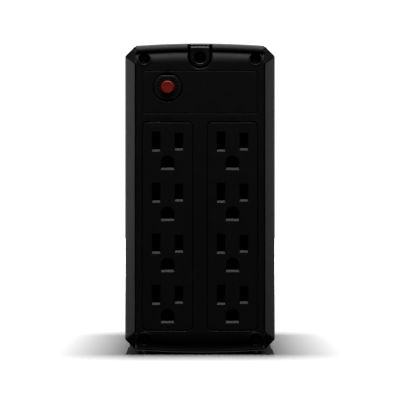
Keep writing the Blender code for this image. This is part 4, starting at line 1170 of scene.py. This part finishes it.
def status_lights():
    """Three domed clear pins on a bar behind the front panel."""
    low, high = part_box("status_light_pipe")
    bar_end = FRONT - PANEL_THICKNESS - 0.2 * MM
    bar = softened_box("status_light_bar", low, Vector((high.x, bar_end, high.z)), 0.3 * MM)
    for number, x in enumerate(STATUS_X, 1):
        start, end, dome = bar_end - 1 * MM, high.y, 0.5 * MM
        profile = [(0, start), (STATUS_RADIUS, start), (STATUS_RADIUS, end - dome)]
        profile += [
            (STATUS_RADIUS * math.cos(a), end - dome + dome * math.sin(a))
            for a in even(0, math.pi / 2, 6)[1:-1]
        ]
        pin = turned(f"status_light_{number}", [*profile, (0, end)], (x, 0, STATUS_Z), (0, 1, 0), 40)
        dress(pin, "lens", "chassis")
    return dress(bar, "lens", "chassis", "status_light_pipe")


def battery_door():
    """Flat lower cover with a finger scoop in its top edge, and a knuckle along its foot."""
    low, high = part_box("battery_door")
    pin_low, pin_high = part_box("left_hinge_pin")
    hinge = (pin_low + pin_high) / 2
    pin_radius = (pin_high.z - pin_low.z) / 2
    knuckle = hinge.z - low.z
    inner = FRONT - PANEL_THICKNESS
    section = [
        (FRONT, high.z),
        (inner, high.z),
        (inner, hinge.z + 6 * MM),
        (hinge.y - knuckle, hinge.z + 1.5 * MM),
        *[
            (hinge.y + knuckle * math.cos(a), hinge.z + knuckle * math.sin(a))
            for a in even(math.radians(190), math.radians(350), 30)
        ],
        (FRONT, hinge.z + 7 * MM),
    ]
    prism = bmesh.new()
    close_rings(prism, [[prism.verts.new((x, y, z)) for y, z in section] for x in (low.x, high.x)])
    door = piece("battery_door_moulding", prism, weighted=False)
    scoop_radius, scoop_depth, corner = 7.5 * MM, 4 * MM, 1.2 * MM
    scoop = turned(
        "scoop",
        [
            (0, -scoop_depth),
            *[
                (scoop_radius - corner + corner * math.sin(a), -scoop_depth + corner - corner * math.cos(a))
                for a in even(0, math.pi / 2, 7)
            ],
            (scoop_radius, scoop_depth),
            (0, scoop_depth),
        ],
        (0, FRONT + 5.4 * MM, high.z), (0, 0, 1), 160,
    )
    cutters = [scoop]
    for side in SIDE_SIGN:
        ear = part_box(f"{side}_hinge_pin")
        middle = (ear[0].x + ear[1].x) / 2
        notch_low = Vector((middle - 2.4 * MM, hinge.y - 6 * MM, hinge.z - 4 * MM))
        notch_high = Vector((middle + 2.4 * MM, hinge.y + 2.6 * MM, hinge.z + 5 * MM))
        cutters.append(softened_box("notch", notch_low, notch_high, 0.3 * MM))
    bore = pin_radius + 0.15 * MM
    cutters.append(turned("bore", [(0, -40 * MM), (bore, -40 * MM), (bore, 40 * MM), (0, 40 * MM)],
                          (0, hinge.y, hinge.z), (1, 0, 0), 32))
    subtract(door, cutters)
    soften(door, 0.3 * MM, 3, 40)
    apply_modifiers(door)
    shade(door, 38)
    return dress(door, "gloss_plastic", "battery_door", "battery_door")


def door_stop():
    """Rib behind the joint of the front panel and the door, which the closed door rests on."""
    low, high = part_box("battery_door")
    end = FRONT - PANEL_THICKNESS - 0.4 * MM
    rib_low = Vector((low.x + 1.5 * MM, end - 1.4 * MM, high.z - 2.5 * MM))
    rib = softened_box("door_stop", rib_low, Vector((high.x - 1.5 * MM, end, high.z + 3.5 * MM)), 0.3 * MM)
    return dress(rib, "panel_plastic", "chassis")


# Nodes that keep their frame shape


BEVELLED_NODES = (
    "base_tray",
    "battery_case",
    "component_shelf",
    "transformer_strap",
    "relay_1",
    "relay_2",
    "film_capacitor",
    "left_heatsink",
    "right_heatsink",
)


def keep_frame_nodes():
    """Materials and softened edges for the nodes that no piece stands for."""
    slots = {entry["node"]: entry["material_slot"] for entry in frame["record"]["subparts"]}
    for name, node in frame["nodes"].items():
        node.data.materials.clear()
        node.data.materials.append(MATERIALS[slots[name]])
    for name in BEVELLED_NODES:
        soften(frame["nodes"][name], 0.25 * MM, 2, 50)


# Stage

# Soft boxes on the object: elevation, azimuth from the front, distance, width, height and radiance
KEY_RADIANCE = 3.0
BOX_DISTANCE = 1.1
BOX_WIDTH = 0.9
AIM_HEIGHT = 0.1
SOFT_BOXES = {
    "front_45": (45, 0, BOX_DISTANCE, BOX_WIDTH, 0.15, KEY_RADIANCE),
    "front_60": (60, 0, BOX_DISTANCE, BOX_WIDTH, 0.15, KEY_RADIANCE),
    "front_75": (75, 0, BOX_DISTANCE, BOX_WIDTH, 0.15, 2 * KEY_RADIANCE),
    "back_15": (15, 180, BOX_DISTANCE, BOX_WIDTH, 0.3, 0.5 * KEY_RADIANCE),
    "back_35": (35, 180, BOX_DISTANCE, BOX_WIDTH, 0.3, KEY_RADIANCE),
    "back_55": (55, 180, BOX_DISTANCE, BOX_WIDTH, 0.3, KEY_RADIANCE),
    "back_75": (75, 180, BOX_DISTANCE, BOX_WIDTH, 0.3, KEY_RADIANCE),
    "left_side": (0, -110, 1.2, 0.25, 0.7, 3 * KEY_RADIANCE),
    "right_side": (0, 110, 1.2, 0.25, 0.7, 2 * KEY_RADIANCE),
}
TOP_LIGHTS = ("back_75", "left_side", "right_side")
NOT_FLOOR = "all_but_floor"
NOT_FLOOR_OR_TOP = "all_but_floor_and_top"
OVERHEAD = Vector((0, -0.03, 0.60))
OVERHEAD_SIZE = (0.13, 0.25)
OVERHEAD_RADIANCE = 12 * KEY_RADIANCE
SKY_HEIGHT = 1.2
SKY_SIZE = 2.4
SKY_RADIANCE = 0.1
FLOOR_BOUNCE = 0.025
BACKDROP = 1.2


def soft_box(name, place, target, width, height, radiance):
    data = bpy.data.lights.new(name, "AREA")
    data.shape = "RECTANGLE"
    data.size, data.size_y = width, height
    data.energy = radiance * math.pi * width * height
    light = bpy.data.objects.new(name, data)
    bpy.context.scene.collection.objects.link(light)
    light.location = place
    light.rotation_euler = (Vector(target) - Vector(place)).to_track_quat("-Z", "Y").to_euler()
    light.visible_camera = False
    return light


def floor_paint():
    """Pale to the camera, evened out for the overhead light's falloff, and dark to all other rays."""
    material = bpy.data.materials.new("floor_paint")
    material.use_nodes = True
    tree = material.node_tree
    tree.nodes.clear()

    def node(kind, operation=None, *values):
        made = tree.nodes.new(kind)
        if operation:
            made.operation = operation
        for socket, value in enumerate(values):
            if value is not None:
                made.inputs[socket].default_value = value
        return made

    def link(source, into, out=0, socket=0):
        tree.links.new(source.outputs[out], into.inputs[socket])

    place = node("ShaderNodeTexCoord")
    offset = node("ShaderNodeVectorMath", "SUBTRACT", None, (OVERHEAD.x, OVERHEAD.y, 0))
    tree.links.new(place.outputs["Object"], offset.inputs[0])
    distance = node("ShaderNodeVectorMath", "LENGTH")
    link(offset, distance)
    share = node("ShaderNodeMath", "DIVIDE", None, OVERHEAD.z)
    tree.links.new(distance.outputs["Value"], share.inputs[0])
    square = node("ShaderNodeMath", "POWER", None, 2.0)
    link(share, square)
    fall = node("ShaderNodeMath", "ADD", None, 1.0)
    link(square, fall)
    evened = node("ShaderNodeMath", "POWER", None, 2.0)
    link(fall, evened)
    pale = node("ShaderNodeBsdfDiffuse")
    link(evened, pale)
    dark = node("ShaderNodeBsdfDiffuse", None, (FLOOR_BOUNCE, FLOOR_BOUNCE, FLOOR_BOUNCE, 1))
    mix = node("ShaderNodeMixShader")
    tree.links.new(node("ShaderNodeLightPath").outputs["Is Camera Ray"], mix.inputs[0])
    link(dark, mix, 0, 1)
    link(pale, mix, 0, 2)
    link(mix, node("ShaderNodeOutputMaterial"))
    return material


def white_backdrop():
    """A world that is white to the camera and dark to everything else."""
    world = bpy.data.worlds.new("studio")
    bpy.context.scene.world = world
    world.use_nodes = True
    tree = world.node_tree
    backdrop = tree.nodes["Background"]
    backdrop.inputs["Color"].default_value = (1, 1, 1, 1)
    path = tree.nodes.new("ShaderNodeLightPath")
    strength = tree.nodes.new("ShaderNodeMath")
    strength.operation = "MULTIPLY"
    strength.inputs[1].default_value = BACKDROP
    tree.links.new(path.outputs["Is Camera Ray"], strength.inputs[0])
    tree.links.new(strength.outputs["Value"], backdrop.inputs["Strength"])


def leave_unlit(obj, receivers):
    """Takes an object out of what the lights with these receivers fall on."""
    receivers.objects.link(obj)
    for entry in receivers.collection_objects:
        entry.light_linking.link_state = "EXCLUDE"


def stage():
    floor_mesh = bmesh.new()
    bmesh.ops.create_grid(floor_mesh, x_segments=1, y_segments=1, size=6)
    floor = piece("floor", floor_mesh, weighted=False)
    floor.data.materials.append(floor_paint())
    white_backdrop()

    target = Vector((0, REAR, AIM_HEIGHT))
    behind, before = bpy.data.collections.new(NOT_FLOOR), bpy.data.collections.new(NOT_FLOOR_OR_TOP)
    leave_unlit(floor, behind)
    leave_unlit(floor, before)
    for name, (elevation, azimuth, distance, width, height, radiance) in SOFT_BOXES.items():
        rise, turn = math.radians(elevation), math.radians(azimuth)
        way = Vector((math.sin(turn) * math.cos(rise), -math.cos(turn) * math.cos(rise), math.sin(rise)))
        light = soft_box(name, target + distance * way, target, width, height, radiance)
        light.light_linking.receiver_collection = behind if name in TOP_LIGHTS else before
    overhead = soft_box(
        "overhead", OVERHEAD, (OVERHEAD.x, OVERHEAD.y, 0), *OVERHEAD_SIZE, OVERHEAD_RADIANCE
    )
    sky = soft_box("sky", (0, 0, SKY_HEIGHT), (0, 0, 0), SKY_SIZE, SKY_SIZE, SKY_RADIANCE)
    floor_only = bpy.data.collections.new("floor_only")
    floor_only.objects.link(floor)
    for light in (overhead, sky):
        light.light_linking.receiver_collection = floor_only
    bpy.context.scene.view_settings.view_transform = "Standard"


def camera():
    """Long lens, level with the middle of the outlet face and straight on to it."""
    distance = 2.0
    frame_width = 0.2218
    height = 84.6 * MM
    data = bpy.data.cameras.new("camera")
    data.sensor_width = 36
    data.lens = data.sensor_width * distance / frame_width
    data.clip_end = 50
    eye = bpy.data.objects.new("camera", data)
    bpy.context.scene.collection.objects.link(eye)
    eye.location = (0, REAR - distance, BODY_BOTTOM + height)
    eye.rotation_euler = (math.pi / 2, 0, 0)
    bpy.context.scene.camera = eye


camera()
stage()
keep_frame_nodes()
rear_panel()
for side_name in SIDE_SIGN:
    outlet_block(side_name)
    side_shell(side_name)
cord_gland()
breaker()
reset_button()
for screw_number, screw_place in enumerate(screw_places(), 1):
    rear_screw(screw_number, *screw_place)
bank_marks()
leave_unlit(top_cover(), bpy.data.collections[NOT_FLOOR_OR_TOP])
for foot_number in range(1, 5):
    foot(foot_number)
front_panel()
power_button()
status_lights()
battery_door()
door_stop()
